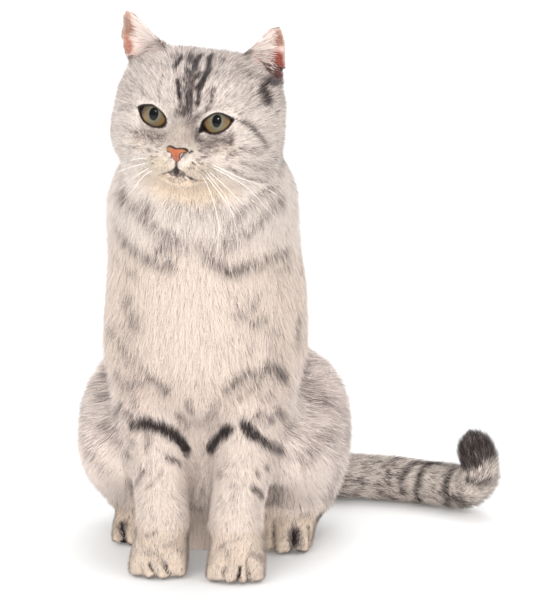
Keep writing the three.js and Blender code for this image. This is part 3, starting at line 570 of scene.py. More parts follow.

# markings, and some painted shade noted below: strokes on the front as (share of dark, or of cream below 0,
# width, points as x and z), in mm
strokes = {
    "forehead": [
        (1, 2.9, [(-10, 353), (-12, 350), (-14, 347)]),
        (0.62, 2, [(-14, 346), (-13, 344)]),
        (1, 2.1, [(-12, 340), (-11, 336), (-11, 332), (-10, 329)]),
        (0.62, 2.1, [(-11, 329), (-9, 325)]),
        (0.92, 3.2, [(-4, 354), (-4, 350)]),
        (1, 2.9, [(3, 354), (0, 351), (-1, 347), (-2, 345)]),
        (0.72, 3.8, [(-6, 346), (-6, 342), (-7, 338), (-8, 335)]),
        (0.87, 3.8, [(-3, 345), (-3, 341), (-3, 336), (-4, 332)]),
        (1, 3.2, [(10, 354), (8, 350), (8, 346), (7, 343), (5, 339), (3, 336), (2, 335)]),
        (0.92, 2.1, [(2, 335), (2, 331), (2, 328), (1, 324)]),
        (0.92, 4.2, [(-4, 332), (-4, 327), (-5, 323), (-6, 320)]),
        (0.97, 2.3, [(3, 344), (1, 342), (0, 341)]),
        (0.62, 5.7, [(-10, 320), (-5, 319), (0, 317)]),
        (0.35, 1.9, [(-22, 341), (-23, 336), (-24, 329)]),
        (0.35, 1.9, [(10, 336), (8, 332), (7, 328)]),
        (0.62, 2.5, [(12, 334), (10, 329), (9, 324), (7, 320)]),
        (0.72, 3, [(15, 352), (18, 351)]),
        (0.42, 12, [(-3, 351), (-3, 341), (-3, 329)]),
        (0.42, 7.6, [(-3, 318), (-5, 314)]),
        (0.45, 3.7, [(-12, 359)]),
        (0.4, 3.4, [(11, 357), (26, 355)]),
        (0.4, 2.8, [(-8, 359), (8, 357)]),
    ],
    "face": [
        (1, 1.9, [(33, 312), (39, 306), (43, 301), (46, 296)]),
        (0.7, 1.3, [(24, 316), (29, 314), (33, 312)]),
        (0.58, 8.9, [(-36, 305), (-29, 303), (-24, 303)]),
        (0.45, 6.0, [(-20, 303), (-22, 300)]),
        (0.68, 8.5, [(1, 303), (5, 300), (12, 300), (20, 302)]),
        (0.45, 6.0, [(6, 296), (12, 297)]),
        (0.6, 3.0, [(2, 308), (1, 304)]),
        (0.35, 3.0, [(-1, 309), (-2, 304)]),
        (0.6, 1.0, [(-32, 296), (-29, 295), (-25, 295)]),
        (0.6, 1.0, [(-29, 292), (-25, 292)]),
        (0.45, 0.5, [(-37, 285), (-32, 288), (-28, 290)]),
        (0.5, 1.0, [(-28, 288), (-27, 288)]),
        (0.65, 1.1, [(1, 291), (3, 291)]),
        (0.6, 1.1, [(4, 292), (7, 292)]),
        (0.5, 0.9, [(7, 292), (10, 292)]),
        (0.6, 1.0, [(-2, 289), (0, 288)]),
        (0.6, 1.0, [(2, 289), (5, 288)]),
        (0.55, 0.6, [(-4, 285), (-1, 286), (0, 285)]),
        (0.6, 0.6, [(3, 285), (5, 283)]),
        (0.55, 0.6, [(6, 283), (8, 281)]),
        (0.35, 2.5, [(-55, 308), (-56, 302)]),
        (0.35, 2.0, [(-48, 297), (-37, 296)]),
        (0.3, 1.7, [(-51, 287), (-41, 287)]),
        (0.35, 3.1, [(-46, 309), (-38, 304)]),
        (0.35, 2.3, [(29, 288), (40, 283), (49, 280)]),
        (0.35, 2.8, [(32, 297), (40, 295)]),
        (0.3, 2.5, [(21, 284), (32, 277), (46, 272)]),
        (0.4, 2.3, [(28, 296), (21, 291)]),
        (0.3, 3.7, [(32, 332), (40, 333)]),
        (0.3, 2.8, [(-49, 326), (-42, 331)]),
        (0.3, 2.8, [(-49, 319), (-43, 323)]),
        (0.35, 3.1, [(39, 323), (49, 319)]),
    ],
    "ears": [
        (0.85, 2.3, [(-44, 347), (-43, 346)]),
        (0.8, 1.4, [(-37, 349), (-36, 349)]),
        (0.95, 1.0, [(-49, 351), (-48, 348)]),
        (1, 6.2, [(44, 332), (46, 327)]),
        (0.95, 3.4, [(49, 335), (52, 336)]),
        (1, 3.0, [(45, 337), (48, 338), (52, 338)]),
        (0.95, 1.3, [(56, 343), (56, 338), (54, 333)]),
        (0.5, 2.2, [(42, 341), (45, 336)]),
        (0.5, 2.7, [(26, 350), (30, 345)]),
        (0.52, 7.0, [(28, 347), (36, 341)]),
        (0.4, 1.8, [(-26, 359), (-23, 356), (-27, 353)]),
    ],
    "brows": [
        (0.35, 2.1, [(-50, 320), (-44, 321), (-38, 323)]),
        (0.3, 2.6, [(36, 326), (46, 322)]),
        (0.3, 3.4, [(-35, 332), (-29, 329)]),
        (0.35, 2.1, [(21, 295), (31, 295), (42, 292)]),
    ],
    "eyeRims": [
        (-0.5, 1.5, [(-26, 323), (-22, 320), (-19, 316), (-19, 311)]),
        (-0.4, 1.3, [(-33, 309), (-28, 308), (-23, 308)]),
        (-0.5, 1.3, [(-1, 308), (2, 313), (6, 318), (11, 320)]),
        (-0.3, 1.0, [(11, 320), (18, 320), (23, 317)]),
        (-0.35, 1.3, [(8, 305), (15, 304), (21, 307)]),
        (0.55, 1.8, [(2, 307), (0, 305)]),
        (0.6, 0.7, [(23, 315), (27, 314)]),
        (0.5, 1.5, [(-39, 322), (-36, 323)]),
    ],
    "mouth": [
        (0.85, 1.0, [(-12, 290), (-12, 285)]),
        (0.75, 1.5, [(-12, 285), (-15, 283), (-18, 282), (-21, 281)]),
        (0.8, 1.8, [(-12, 285), (-9, 283), (-7, 282)]),
        (0.85, 1.5, [(-8, 282), (-5, 280), (-2, 278)]),
        (0.55, 1.4, [(-2, 278), (1, 276)]),
        (0.95, 2.6, [(-12, 285), (-12, 282)]),
        (0.72, 2.6, [(-15, 281), (-12, 281), (-8, 280)]),
        # the two broad faint ones below are painted shadow under the lower lip
        (0.42, 4.6, [(-15, 278), (-12, 277), (-9, 278)]),
        (0.3, 3.6, [(-12, 277), (-10, 276)]),
        (0.95, 0.8, [(-18, 297), (-17, 296), (-15, 295), (-15, 292)]),
        (0.95, 0.8, [(-2, 296), (-4, 295)]),
        (0.95, 0.8, [(-5, 295), (-7, 295), (-8, 294), (-9, 292)]),
        (0.9, 0.5, [(-19, 298), (-17, 299), (-14, 299), (-12, 298), (-9, 298), (-7, 298), (-5, 296)]),
    ],
    "neck": [
        (0.45, 5.5, [(-49, 258), (-41, 252), (-34, 246), (-26, 239), (-15, 235)]),
        (0.4, 5.5, [(-53, 258), (-49, 262)]),
        (0.5, 5.5, [(-49, 231), (-39, 221), (-30, 218)]),
        (0.72, 4.0, [(-30, 217), (-23, 215), (-16, 215)]),
        (0.45, 3.3, [(-27, 226), (-21, 225)]),
        (0.28, 6.4, [(-53, 236), (-46, 229)]),
        (0.5, 3.1, [(-46, 208), (-41, 207)]),
        (0.25, 2.7, [(-57, 220), (-52, 213)]),
        (0.6, 3.7, [(10, 216), (17, 213)]),
        (0.92, 3.8, [(18, 212), (25, 211), (32, 214)]),
        (0.62, 4.0, [(32, 214), (41, 215), (48, 219), (60, 221)]),
        (0.5, 4.8, [(55, 256), (46, 250), (40, 244), (33, 238), (25, 234)]),
        (0.45, 4.8, [(51, 267), (43, 263), (36, 258), (29, 251), (21, 243)]),
        (0.3, 6.4, [(5, 230), (7, 221)]),
        (0.3, 5.5, [(14, 232), (20, 227)]),
        (0.3, 3.1, [(52, 207), (61, 211)]),
        (0.3, 5.5, [(-36, 257), (-30, 251)]),
    ],
    "chest": [
        # the two broad faint ones across the top are painted shade under the chin and in the folds of the
        # neck
        (0.28, 13.0, [(-20, 231), (20, 229)]),
        (0.2, 15.0, [(-14, 252), (18, 252)]),
        (0.22, 13.0, [(-50, 165), (-43, 140)]),
        (0.2, 12.0, [(50, 165), (55, 140)]),
        (0.28, 2.6, [(25, 188), (34, 189), (42, 194)]),
        (0.5, 2.9, [(22, 181), (30, 180), (38, 185)]),
        (0.62, 2.9, [(35, 174), (41, 175), (45, 176)]),
        (0.42, 3.1, [(49, 169), (53, 167)]),
        (0.4, 3.1, [(33, 157), (36, 155)]),
        (0.2, 2.7, [(21, 195), (29, 196)]),
        (0.42, 7.3, [(69, 219), (72, 198), (72, 187), (67, 172), (65, 155)]),
        (0.3, 11.0, [(-48, 186), (-41, 172)]),
        (0.5, 5.1, [(-53, 156), (-48, 150)]),
        (0.3, 5.5, [(-62, 161), (-58, 164)]),
        (0.28, 4.2, [(-63, 198), (-64, 179), (-64, 166)]),
        (0.55, 3.3, [(-7, 120), (-5, 113)]),
        (0.38, 4.7, [(-13, 110), (-10, 99)]),
        (0.3, 1.8, [(-8, 138), (-7, 135)]),
        (0.35, 4.7, [(6, 106), (9, 110)]),
        (0.45, 2.3, [(1, 51), (2, 48)]),
    ],
    "rightForeleg": [
        (0.8, 3.3, [(-33, 136), (-26, 132), (-21, 127)]),
        (0.5, 3.1, [(-38, 142), (-33, 136)]),
        (0.8, 5.7, [(-46, 100), (-38, 102)]),
        (1, 6.2, [(-38, 102), (-29, 100), (-20, 96), (-13, 88), (-10, 82)]),
        (0.75, 2.9, [(-23, 79), (-18, 77), (-14, 74)]),
        (0.45, 4.5, [(-35, 93), (-34, 91)]),
        (0.4, 3.1, [(-36, 85), (-36, 84)]),
        (0.45, 3.3, [(-47, 88), (-45, 88)]),
        (0.5, 3.1, [(-50, 78), (-48, 78)]),
        (0.45, 2.3, [(-26, 69), (-29, 66)]),
        (0.4, 2.1, [(-32, 62), (-35, 59)]),
        (0.5, 2.5, [(-37, 71), (-40, 64), (-44, 56)]),
        (0.35, 1.6, [(-19, 55), (-16, 53)]),
        (0.35, 1.8, [(-36, 28), (-29, 31)]),
        (0.4, 2.1, [(-23, 22), (-19, 22)]),
        (0.2, 1.8, [(-35, 44), (-30, 39)]),
    ],
    "leftForeleg": [
        (0.75, 3.9, [(19, 129), (25, 135), (33, 140), (42, 138)]),
        (0.85, 4.3, [(45, 143), (52, 140), (58, 132)]),
        (0.42, 2.5, [(27, 122), (34, 127), (41, 131)]),
        (0.3, 2.9, [(42, 121), (51, 122)]),
        (0.72, 3.9, [(53, 111), (57, 104)]),
        (0.5, 5.7, [(40, 108), (48, 105)]),
        (1, 6.0, [(8, 82), (13, 92), (20, 99)]),
        (0.98, 6.0, [(32, 102), (36, 96)]),
        (0.82, 4.7, [(37, 95), (42, 91), (49, 86), (55, 82)]),
        (0.4, 2.7, [(18, 77), (20, 76)]),
        (0.42, 3.1, [(14, 70), (15, 68)]),
        (0.65, 2.7, [(45, 73), (46, 72)]),
        (0.65, 2.7, [(39, 71), (40, 69)]),
        (0.85, 3.5, [(37, 60), (42, 54)]),
        (0.35, 2.5, [(15, 54), (17, 52)]),
        (0.35, 2.7, [(22, 63), (27, 60)]),
        (0.3, 2.7, [(23, 55), (24, 53)]),
        (0.25, 2.5, [(32, 82), (37, 83)]),
        (0.28, 2.3, [(16, 24), (27, 29)]),
        (0.4, 3.5, [(36, 19), (42, 15)]),
        (0.35, 5.1, [(7, 109), (12, 119)]),
    ],
    "flanks": [
        (0.45, 4.5, [(-56, 133), (-51, 132)]),
        (0.42, 5.1, [(-52, 127), (-39, 130)]),
        (0.4, 4.5, [(-44, 117), (-42, 116)]),
        (0.62, 4.3, [(-53, 112), (-57, 104)]),
        (0.5, 3.5, [(-51, 106), (-46, 107)]),
        (0.5, 5.7, [(-71, 108), (-63, 109)]),
        (0.45, 8.8, [(-67, 94), (-56, 86)]),
        (0.42, 5.5, [(-81, 82), (-74, 73), (-66, 64)]),
        (0.4, 10.3, [(-79, 113), (-74, 110)]),
        (0.45, 8.2, [(-65, 143), (-63, 138)]),
        (0.5, 5.7, [(75, 130), (69, 126), (65, 117)]),
        (0.45, 5.7, [(86, 127), (87, 121)]),
        (0.4, 7.2, [(75, 103), (78, 100)]),
        (0.48, 9.2, [(73, 74), (80, 82), (90, 87)]),
        (0.45, 5.7, [(97, 99), (103, 86)]),
        (0.42, 4.7, [(100, 111), (101, 103)]),
        (0.45, 4.7, [(105, 87)]),
        (0.72, 5.3, [(82, 21), (101, 2)]),
        (0.55, 6.2, [(101, 5), (104, 16)]),
        (0.45, 7.2, [(89, 42), (92, 44)]),
        (0.4, 3.5, [(71, 27), (75, 27)]),
        (0.35, 6.2, [(59, 92), (63, 96)]),
    ],
    # painted shade: dark wedges deep in the clefts between the hind toes
    "hindToes": [
        (1, 7.0, [(-56, 13), (-55, 8), (-55, 4)]),
        (1, 2.0, [(-52, 2)]),
        (1, 8.0, [(65, 14), (66, 9), (66, 4)]),
        (1, 1.6, [(51, 13), (51, 4)]),
        (0.9, 1.3, [(76, 17), (77, 8)]),
        (0.45, 2.3, [(66, 24), (65, 16)]),
        (0.4, 2.0, [(51, 21), (51, 13)]),
    ],
    # painted shade: dark lines deep in the clefts between the fore toes and a dark spot where a toe meets the
    # floor; the faint broad ones darken the paws above the toes
    "foreToes": [
        (1, 1.4, [(-33, 11), (-31, 7), (-30, 4)]),
        (1, 1.4, [(-22, 10), (-20, 6)]),
        (1, 1.4, [(28, 12), (28, 6)]),
        (0.95, 1.4, [(35, 8)]),
        (0.55, 1.3, [(16, 9), (16, 4)]),
        (0.22, 2.3, [(-25, 16), (-23, 11)]),
        (0.22, 4.9, [(-36, 18), (-29, 17)]),
        (0.22, 4.9, [(-16, 21), (-11, 17)]),
        (0.22, 3.9, [(39, 19), (43, 15)]),
        (0.22, 4.9, [(14, 22), (19, 19)]),
        (0.8, 1.1, [(43, 2)]),
    ],
    "tail": [
        (0.6, 3.0, [(134, 28), (141, 24)]),
        (0.85, 3.4, [(168, 37), (158, 35), (153, 28), (148, 19), (150, 10)]),
        (0.6, 3.4, [(154, 40), (144, 39)]),
        (0.5, 3.0, [(136, 31), (143, 29)]),
        (1, 3.8, [(179, 36), (170, 34), (164, 29), (161, 22), (160, 14), (163, 5)]),
        (1, 4.0, [(188, 36), (184, 30), (181, 22), (181, 14), (183, 6)]),
        (1, 3.8, [(196, 30), (204, 28), (212, 30), (222, 35)]),
        (0.5, 3.4, [(172, 20), (173, 12)]),
        (0.45, 3.2, [(192, 22), (190, 14)]),
        (0.95, 3.8, [(186, 14), (192, 11), (197, 8)]),
        (0.5, 2.6, [(190, 28), (193, 21)]),
        (0.6, 3.0, [(140, 24), (138, 14)]),
        # the two lowest, along the floor, are painted shade under the tail
        (0.75, 4.0, [(158, 3), (171, 2), (184, 2)]),
        (0.7, 3.4, [(132, 10), (144, 4)]),
        (0.5, 2.6, [(119, 31), (128, 30)]),
        (0.5, 2.6, [(114, 18), (125, 16)]),
        (0.5, 2.6, [(126, 36), (135, 35)]),
    ],
}
tailRings = [(66, 5, 0.35), (90, 5, 0.4), (108, 4.5, 0.42), (125, 4, 0.42), (140, 3.0, 0.45),
             (236, 16, 0.94)]  # place along the tail, half width, share of dark

bpy.context.view_layer.update()
skinTree = BVHTree.FromObject(skin, bpy.context.evaluated_depsgraph_get())


# lays a stroke on the skin, as seen from straight ahead
def onSkin(x, z):
    for lower in (0, 1.5, 3, 4.5):  # a point just over an edge is laid on the edge
        found = skinTree.ray_cast(Vector((x + modelOrigin[0], -600, z - lower)) * mm, Vector((0, 1, 0)))
        if found[0] is not None:
            return np.array(found[0]) / mm
    return None


laidStrokes = []
for group in strokes.values():
    for share, width, line in group:
        laid = [p for p in (onSkin(x, z) for x, z in line) if p is not None]
        if laid:
            laidStrokes.append((share, width, np.array(laid)))


def markingAndShadeShare(points, nodes):
    ragged = 0.2 * softNoise(points, 2.2, 3) + 0.16 * softNoise(points, 0.9, 4)
    dark = np.zeros(len(points))
    cream = np.zeros(len(points))
    for share, width, line in laidStrokes:
        reach = width * 1.2 + 2
        around = (points > line.min(axis=0) - reach) & (points < line.max(axis=0) + reach)
        near = np.flatnonzero(around.all(axis=1))
        if len(near):
            away = distanceToLine(points[near], line) + ragged[near] * max(width, 2)
            layer = dark if share > 0 else cream
            core = 0.5 if width < 6.5 else 0.2  # broad ones fade out softly
            layer[near] = np.maximum(layer[near], abs(share) * smoothStep(width * 1.05, width * core, away))
    tail = named(nodes, "tail")
    if tail.any():
        spots = points[tail]
        where = nearestOnTail(spots)
        run = tailRun[where] - 0.5 * (spots[:, 2] - tailLine[where, 2]) + 9 * ragged[tail]
        ringed = dark[tail]
        for place, half, share in tailRings:
            ringed = np.maximum(ringed, share * smoothStep(half + 2, half - 1, np.abs(run - place)))
        dark[tail] = ringed
    return dark, cream


# grey mottling: share of dark that lies under the strokes, from the place on the body
def mottledShare(points, nodes):
    body = (points - modelOrigin) @ bodyTurn
    head = toHead(points)
    coarse = softNoise(points, 17, 11)
    fine = softNoise(points, 6, 12)
    flank = np.isin(nodes, ["hips", "left_thigh", "right_thigh", "left_hock", "right_hock"])
    band = np.sin((0.75 * body[:, 1] + 0.5 * body[:, 2]) / 5.2 + 2.4 * coarse + 0.8 * np.sign(body[:, 0]))
    behind = smoothStep(20, 70, body[:, 1])
    backDown, backUp = 0.75 * body[:, 1] + 0.5 * body[:, 2], 0.75 * body[:, 2] - 0.5 * body[:, 1]
    streak = softNoise(np.column_stack([body[:, 0], backDown, backUp / 3.5]), 4.5, 15)
    onFlank = 0.13 + 0.12 * coarse + 0.1 * fine + 0.22 * np.maximum(streak, 0) + behind * (0.14 + 0.2 * band)
    share = np.where(flank, onFlank, 0.1 + 0.06 * fine)
    belly = (np.abs(body[:, 0]) < 42) & (body[:, 1] < 60)
    share = np.where(flank & belly, 0.06 + 0.05 * fine, share)
    low = smoothStep(95, 60, body[:, 2]) * flank * (1 - behind)
    share *= 1 - 0.75 * low
    sideBack = smoothStep(12, 48, body[:, 1])
    trunk = np.isin(nodes, ["neck", "chest"])
    share = np.where(trunk, 0.04 + 0.05 * coarse + sideBack * (0.25 + 0.16 * band), share)
    spine = smoothStep(13, 6, np.abs(body[:, 0]) + 2 * fine) * smoothStep(40, 90, body[:, 1])
    share = np.maximum(share, 0.85 * spine * (flank | trunk))
    crown = (nodes == "head") * smoothStep(-34, 6, head[:, 1])
    nape = 0.5 + 0.35 * np.sin(head[:, 0] / 3.6 + 1.2 * coarse)
    onHead = 0.09 + 0.08 * softNoise(points, 3.2, 13) + crown * (0.2 + 0.2 * coarse)
    onHead += 0.09 * smoothStep(4, 18, head[:, 2]) + 0.06 * smoothStep(24, 34, head[:, 2])
    share = np.where(nodes == "head", onHead, share)
    share *= np.where(np.isin(nodes, ["head", "muzzle"]), smoothStep(-42, -20, head[:, 2]) * 0.85 + 0.15, 1)
    backHead = np.isin(nodes, ["head", "neck"]) * smoothStep(12, 34, head[:, 1])
    share = np.maximum(share, backHead * smoothStep(-85, -40, head[:, 2]) * nape * 0.8)
    share = np.where(named(nodes, "_ear"), 0.36, share)
    share = np.where(named(nodes, "foreleg"), 0.1 + 0.07 * fine + 0.3 * smoothStep(8, 30, body[:, 1]), share)
    share = np.where(named(nodes, "paw"), 0.06 + 0.08 * softNoise(points, 5, 14), share)
    share = np.where(nodes == "muzzle", 0.13 + 0.1 * softNoise(points, 2.4, 13), share)
    share = np.where(named(nodes, "tail"), 0.2 + 0.26 * fine, share)
    return np.clip(share, 0, 1)


# colours of the pale hairs, by node, and of the tipped and dark ones
paleHairs = {
    "muzzle": "#d3c3b2", "head": "#e2d5cb", "ear": "#d2c4ba", "neck": "#faece1", "chest": "#f3e0d1",
    "hips": "#f0dccd", "foreleg": "#f4e2d5", "thigh": "#f8e7dc", "hock": "#ecd8c8", "forepaw": "#ead5c2",
    # the hind paws are paler than the fore paws to lift the shade they sit in: painted light
    "hindpaw": "#f4dec7", "tail": "#faecdf",
}
# creamy hairs round the mouth, tan by it, sandy between the eyes: middle and half size in head x and z
# the two small tan ones at the mouth's corners are partly painted shade under the whisker pads
faceTints = [
    ("#f6e8dc", (0, -30), (66, 18)), ("#fbe3c8", (2, -39), (32, 14)), ("#d6c6b0", (-11, -25), (11, 7)),
    ("#d6c6b0", (14, -26), (12, 7)), ("#b8a99c", (0, -5), (8, 11)), ("#bda78f", (-9, -33), (5, 1.8)),
    ("#bda78f", (13, -33.5), (6, 2)),
]
greyHair = np.array(linearColour("#958681"))
darkHair = np.array(linearColour("#261d1d"))
whiteHair = np.array(linearColour("#f8f0e6"))
paleNames = ["tail" if n.startswith("tail") else n.split("_")[-1] for n in fleshNodes]
skinPale = relax(np.array([linearColour(paleHairs[n]) for n in paleNames])[nodeOf], 24)
local = toHead(skinPoints)
for colour, middle, half in faceTints:
    apart = np.linalg.norm((local[:, [0, 2]] - middle) / half, axis=1)
    share = smoothStep(1.25, 0.45, apart) * isFace * (local[:, 1] < -20)
    skinPale += share[:, None] * (np.array(linearColour(colour)) - skinPale)
skinMottle = np.maximum(relax(mottledShare(skinPoints, nodeNames), 4) * (1 - 0.5 * earFoot), 0.9 * solesAndContactShade)
skinPale += (np.array(linearColour(paleHairs["head"])) - skinPale) * earFoot[:, None]
place = (skinPoints - modelOrigin) @ bodyTurn
lowFlankLight = smoothStep(105, 60, place[:, 2]) * smoothStep(100, 50, place[:, 1])
lowFlankLight = lowFlankLight * np.isin(kinds, ["thigh", "hock", "hips"])
lowFlankLight = lowFlankLight * (0.15 + 0.6 * smoothStep(10, -30, place[:, 0]))
skinPale *= 1 + lowFlankLight[:, None]  # painted light, most on the cat's right: the low flanks and thighs made paler where they lie in shade
skinPale *= 1 + 0.4 * (smoothStep(-27, -36, local[:, 2]) * isFace)[:, None]  # painted light: the chin, shaded under the muzzle, made paler


def coatColour(pale, share):
    share = np.clip(share, 0, 1)[:, None]
    toGrey = pale + (greyHair - pale) * np.clip(share / 0.55, 0, 1)
    return toGrey + (darkHair - toGrey) * np.clip((share - 0.45) / 0.55, 0, 1) ** 1.2


def setColour(mesh, name, colours):
    layer = mesh.color_attributes.new(name, "FLOAT_COLOR", "POINT")
    setValues(layer, "color", np.column_stack([colours, np.ones(len(colours))]))


skinDark, skinCream = markingAndShadeShare(skinPoints, nodeNames)
skinShare = np.maximum(skinMottle, skinDark) * (1 - skinCream)
# the skin is darker than the hairs over it: painted shade among the hairs, and the duller underfur
skinColour = coatColour(skinPale, skinShare) * 0.84
# bare skin: pink in the ears, dark on the lids and in the mouth; painted shade in the clefts between the
# toes, and dark along the paws' bottom edge
earPlan = {
    "pale": "#f0d9ce", "tan": "#c9a18c", "rim": "#c4afa3",
    # zones of each ear as colour, middle and half size in share across and height in the head
    # the dark maroon and near-black zones low in the left ear are its skin darkened with painted shade deep
    # in the pocket
    "left": [("#9c6c5b", (0.62, 58), (0.5, 6)), ("#9c4336", (0.72, 43), (0.42, 9)),
             ("#6b3033", (0.6, 34), (0.45, 5.5)), ("#2a1c1e", (0.8, 28), (0.3, 3))],
    "right": [("#9b7362", (0.95, 54), (0.42, 8)), ("#b5705c", (0.94, 42), (0.15, 8)),
              ("#a06a5c", (0.75, 31), (0.2, 3))],
}
earAcross, earReach = np.zeros(len(skinPoints)), np.full(len(skinPoints), 10.0)
earTints = [("pale", inCup), ("tan", inCup * smoothStep(54, 61, local[:, 2]))]
# a dusky pink before the left ear: its skin seen deep between the hairs, darkened with painted shade
deepEar = smoothStep(1.25, 0.5, np.linalg.norm((local[:, [0, 2]] - (45, 37)) / (7, 8), axis=1))
deepEar *= (nodeNames == "head") * smoothStep(-20, -12, local[:, 1])  # between the hairs before the left ear
earTints.append(("#8f605a", 0.85 * deepEar * (1 - inCup)))
for side, sign in (("left", 1), ("right", -1)):
    cup = np.flatnonzero((inCup > 0.3) & (local[:, 0] * sign > 0))
    level = np.clip(np.round(local[cup, 2] / 2).astype(int), 0, 40)
    inner, outer = np.full(42, 99.0), np.full(42, -99.0)
    np.minimum.at(inner, level, local[cup, 0] * sign)
    np.maximum.at(outer, level, local[cup, 0] * sign)
    wide = np.maximum(outer - inner, 3)[level]
    earAcross[cup] = (local[cup, 0] * sign - inner[level]) / wide
    earReach[cup] = wide
    for tone, middle, half in earPlan[side]:
        apart = np.linalg.norm((np.column_stack([earAcross[cup], local[cup, 2]]) - middle) / half, axis=1)
        zone = np.zeros(len(skinPoints))
        zone[cup] = smoothStep(1.25, 0.6, apart)
        earTints.append((tone, inCup * zone))
earEdges = np.maximum(smoothStep(0.9, 0.98, earAcross), smoothStep(0.1, 0.02, earAcross))
earRim = inCup * earEdges * smoothStep(38, 46, local[:, 2])
earRim = np.maximum(earRim, isEar * smoothStep(63, 65, local[:, 2]))
for tone, share in earTints + [("rim", earRim)]:
    tint = np.array(linearColour(earPlan.get(tone, tone)))
    # painted light: the ear's tints are lifted, the pale of the cup most, against the shade in its hollow
    cupLight = 1.5 if tone == "pale" else 1.15
    skinColour += (tint * 0.7 * cupLight - skinColour) * share[:, None]
    skinPale += (tint * cupLight - skinPale) * share[:, None]
skinMottle += (0.07 - skinMottle) * inCup
skinMottle *= 1 - 0.5 * nearCup - 0.4 * deepEar
lidDark = np.zeros(len(skinPoints))
for side, outline in eyeOutlines.items():
    offset = local - eyeCentre(side)
    near = np.flatnonzero((np.abs(offset[:, 0]) < 16) & (np.abs(offset[:, 2]) < 14) & (offset[:, 1] < 2))
    apart = distanceToLine(offset[near][:, [0, 2]], outline, closed=True)
    inside = insideOutline(offset[near][:, [0, 2]], outline)
    lidDark[near] = np.maximum(lidDark[near], np.where(inside, 1, smoothStep(0.9, 0.35, apart)))
darkSkinAndShade = np.maximum(lidDark, cleftShade * 0.95)
skinColour += (np.array(linearColour("#211b1b")) - skinColour) * darkSkinAndShade[:, None]
setColour(skinMesh, "coatTint", np.clip(skinColour, 0.005, 1))
skinMesh.shade_smooth()
print("markings laid")


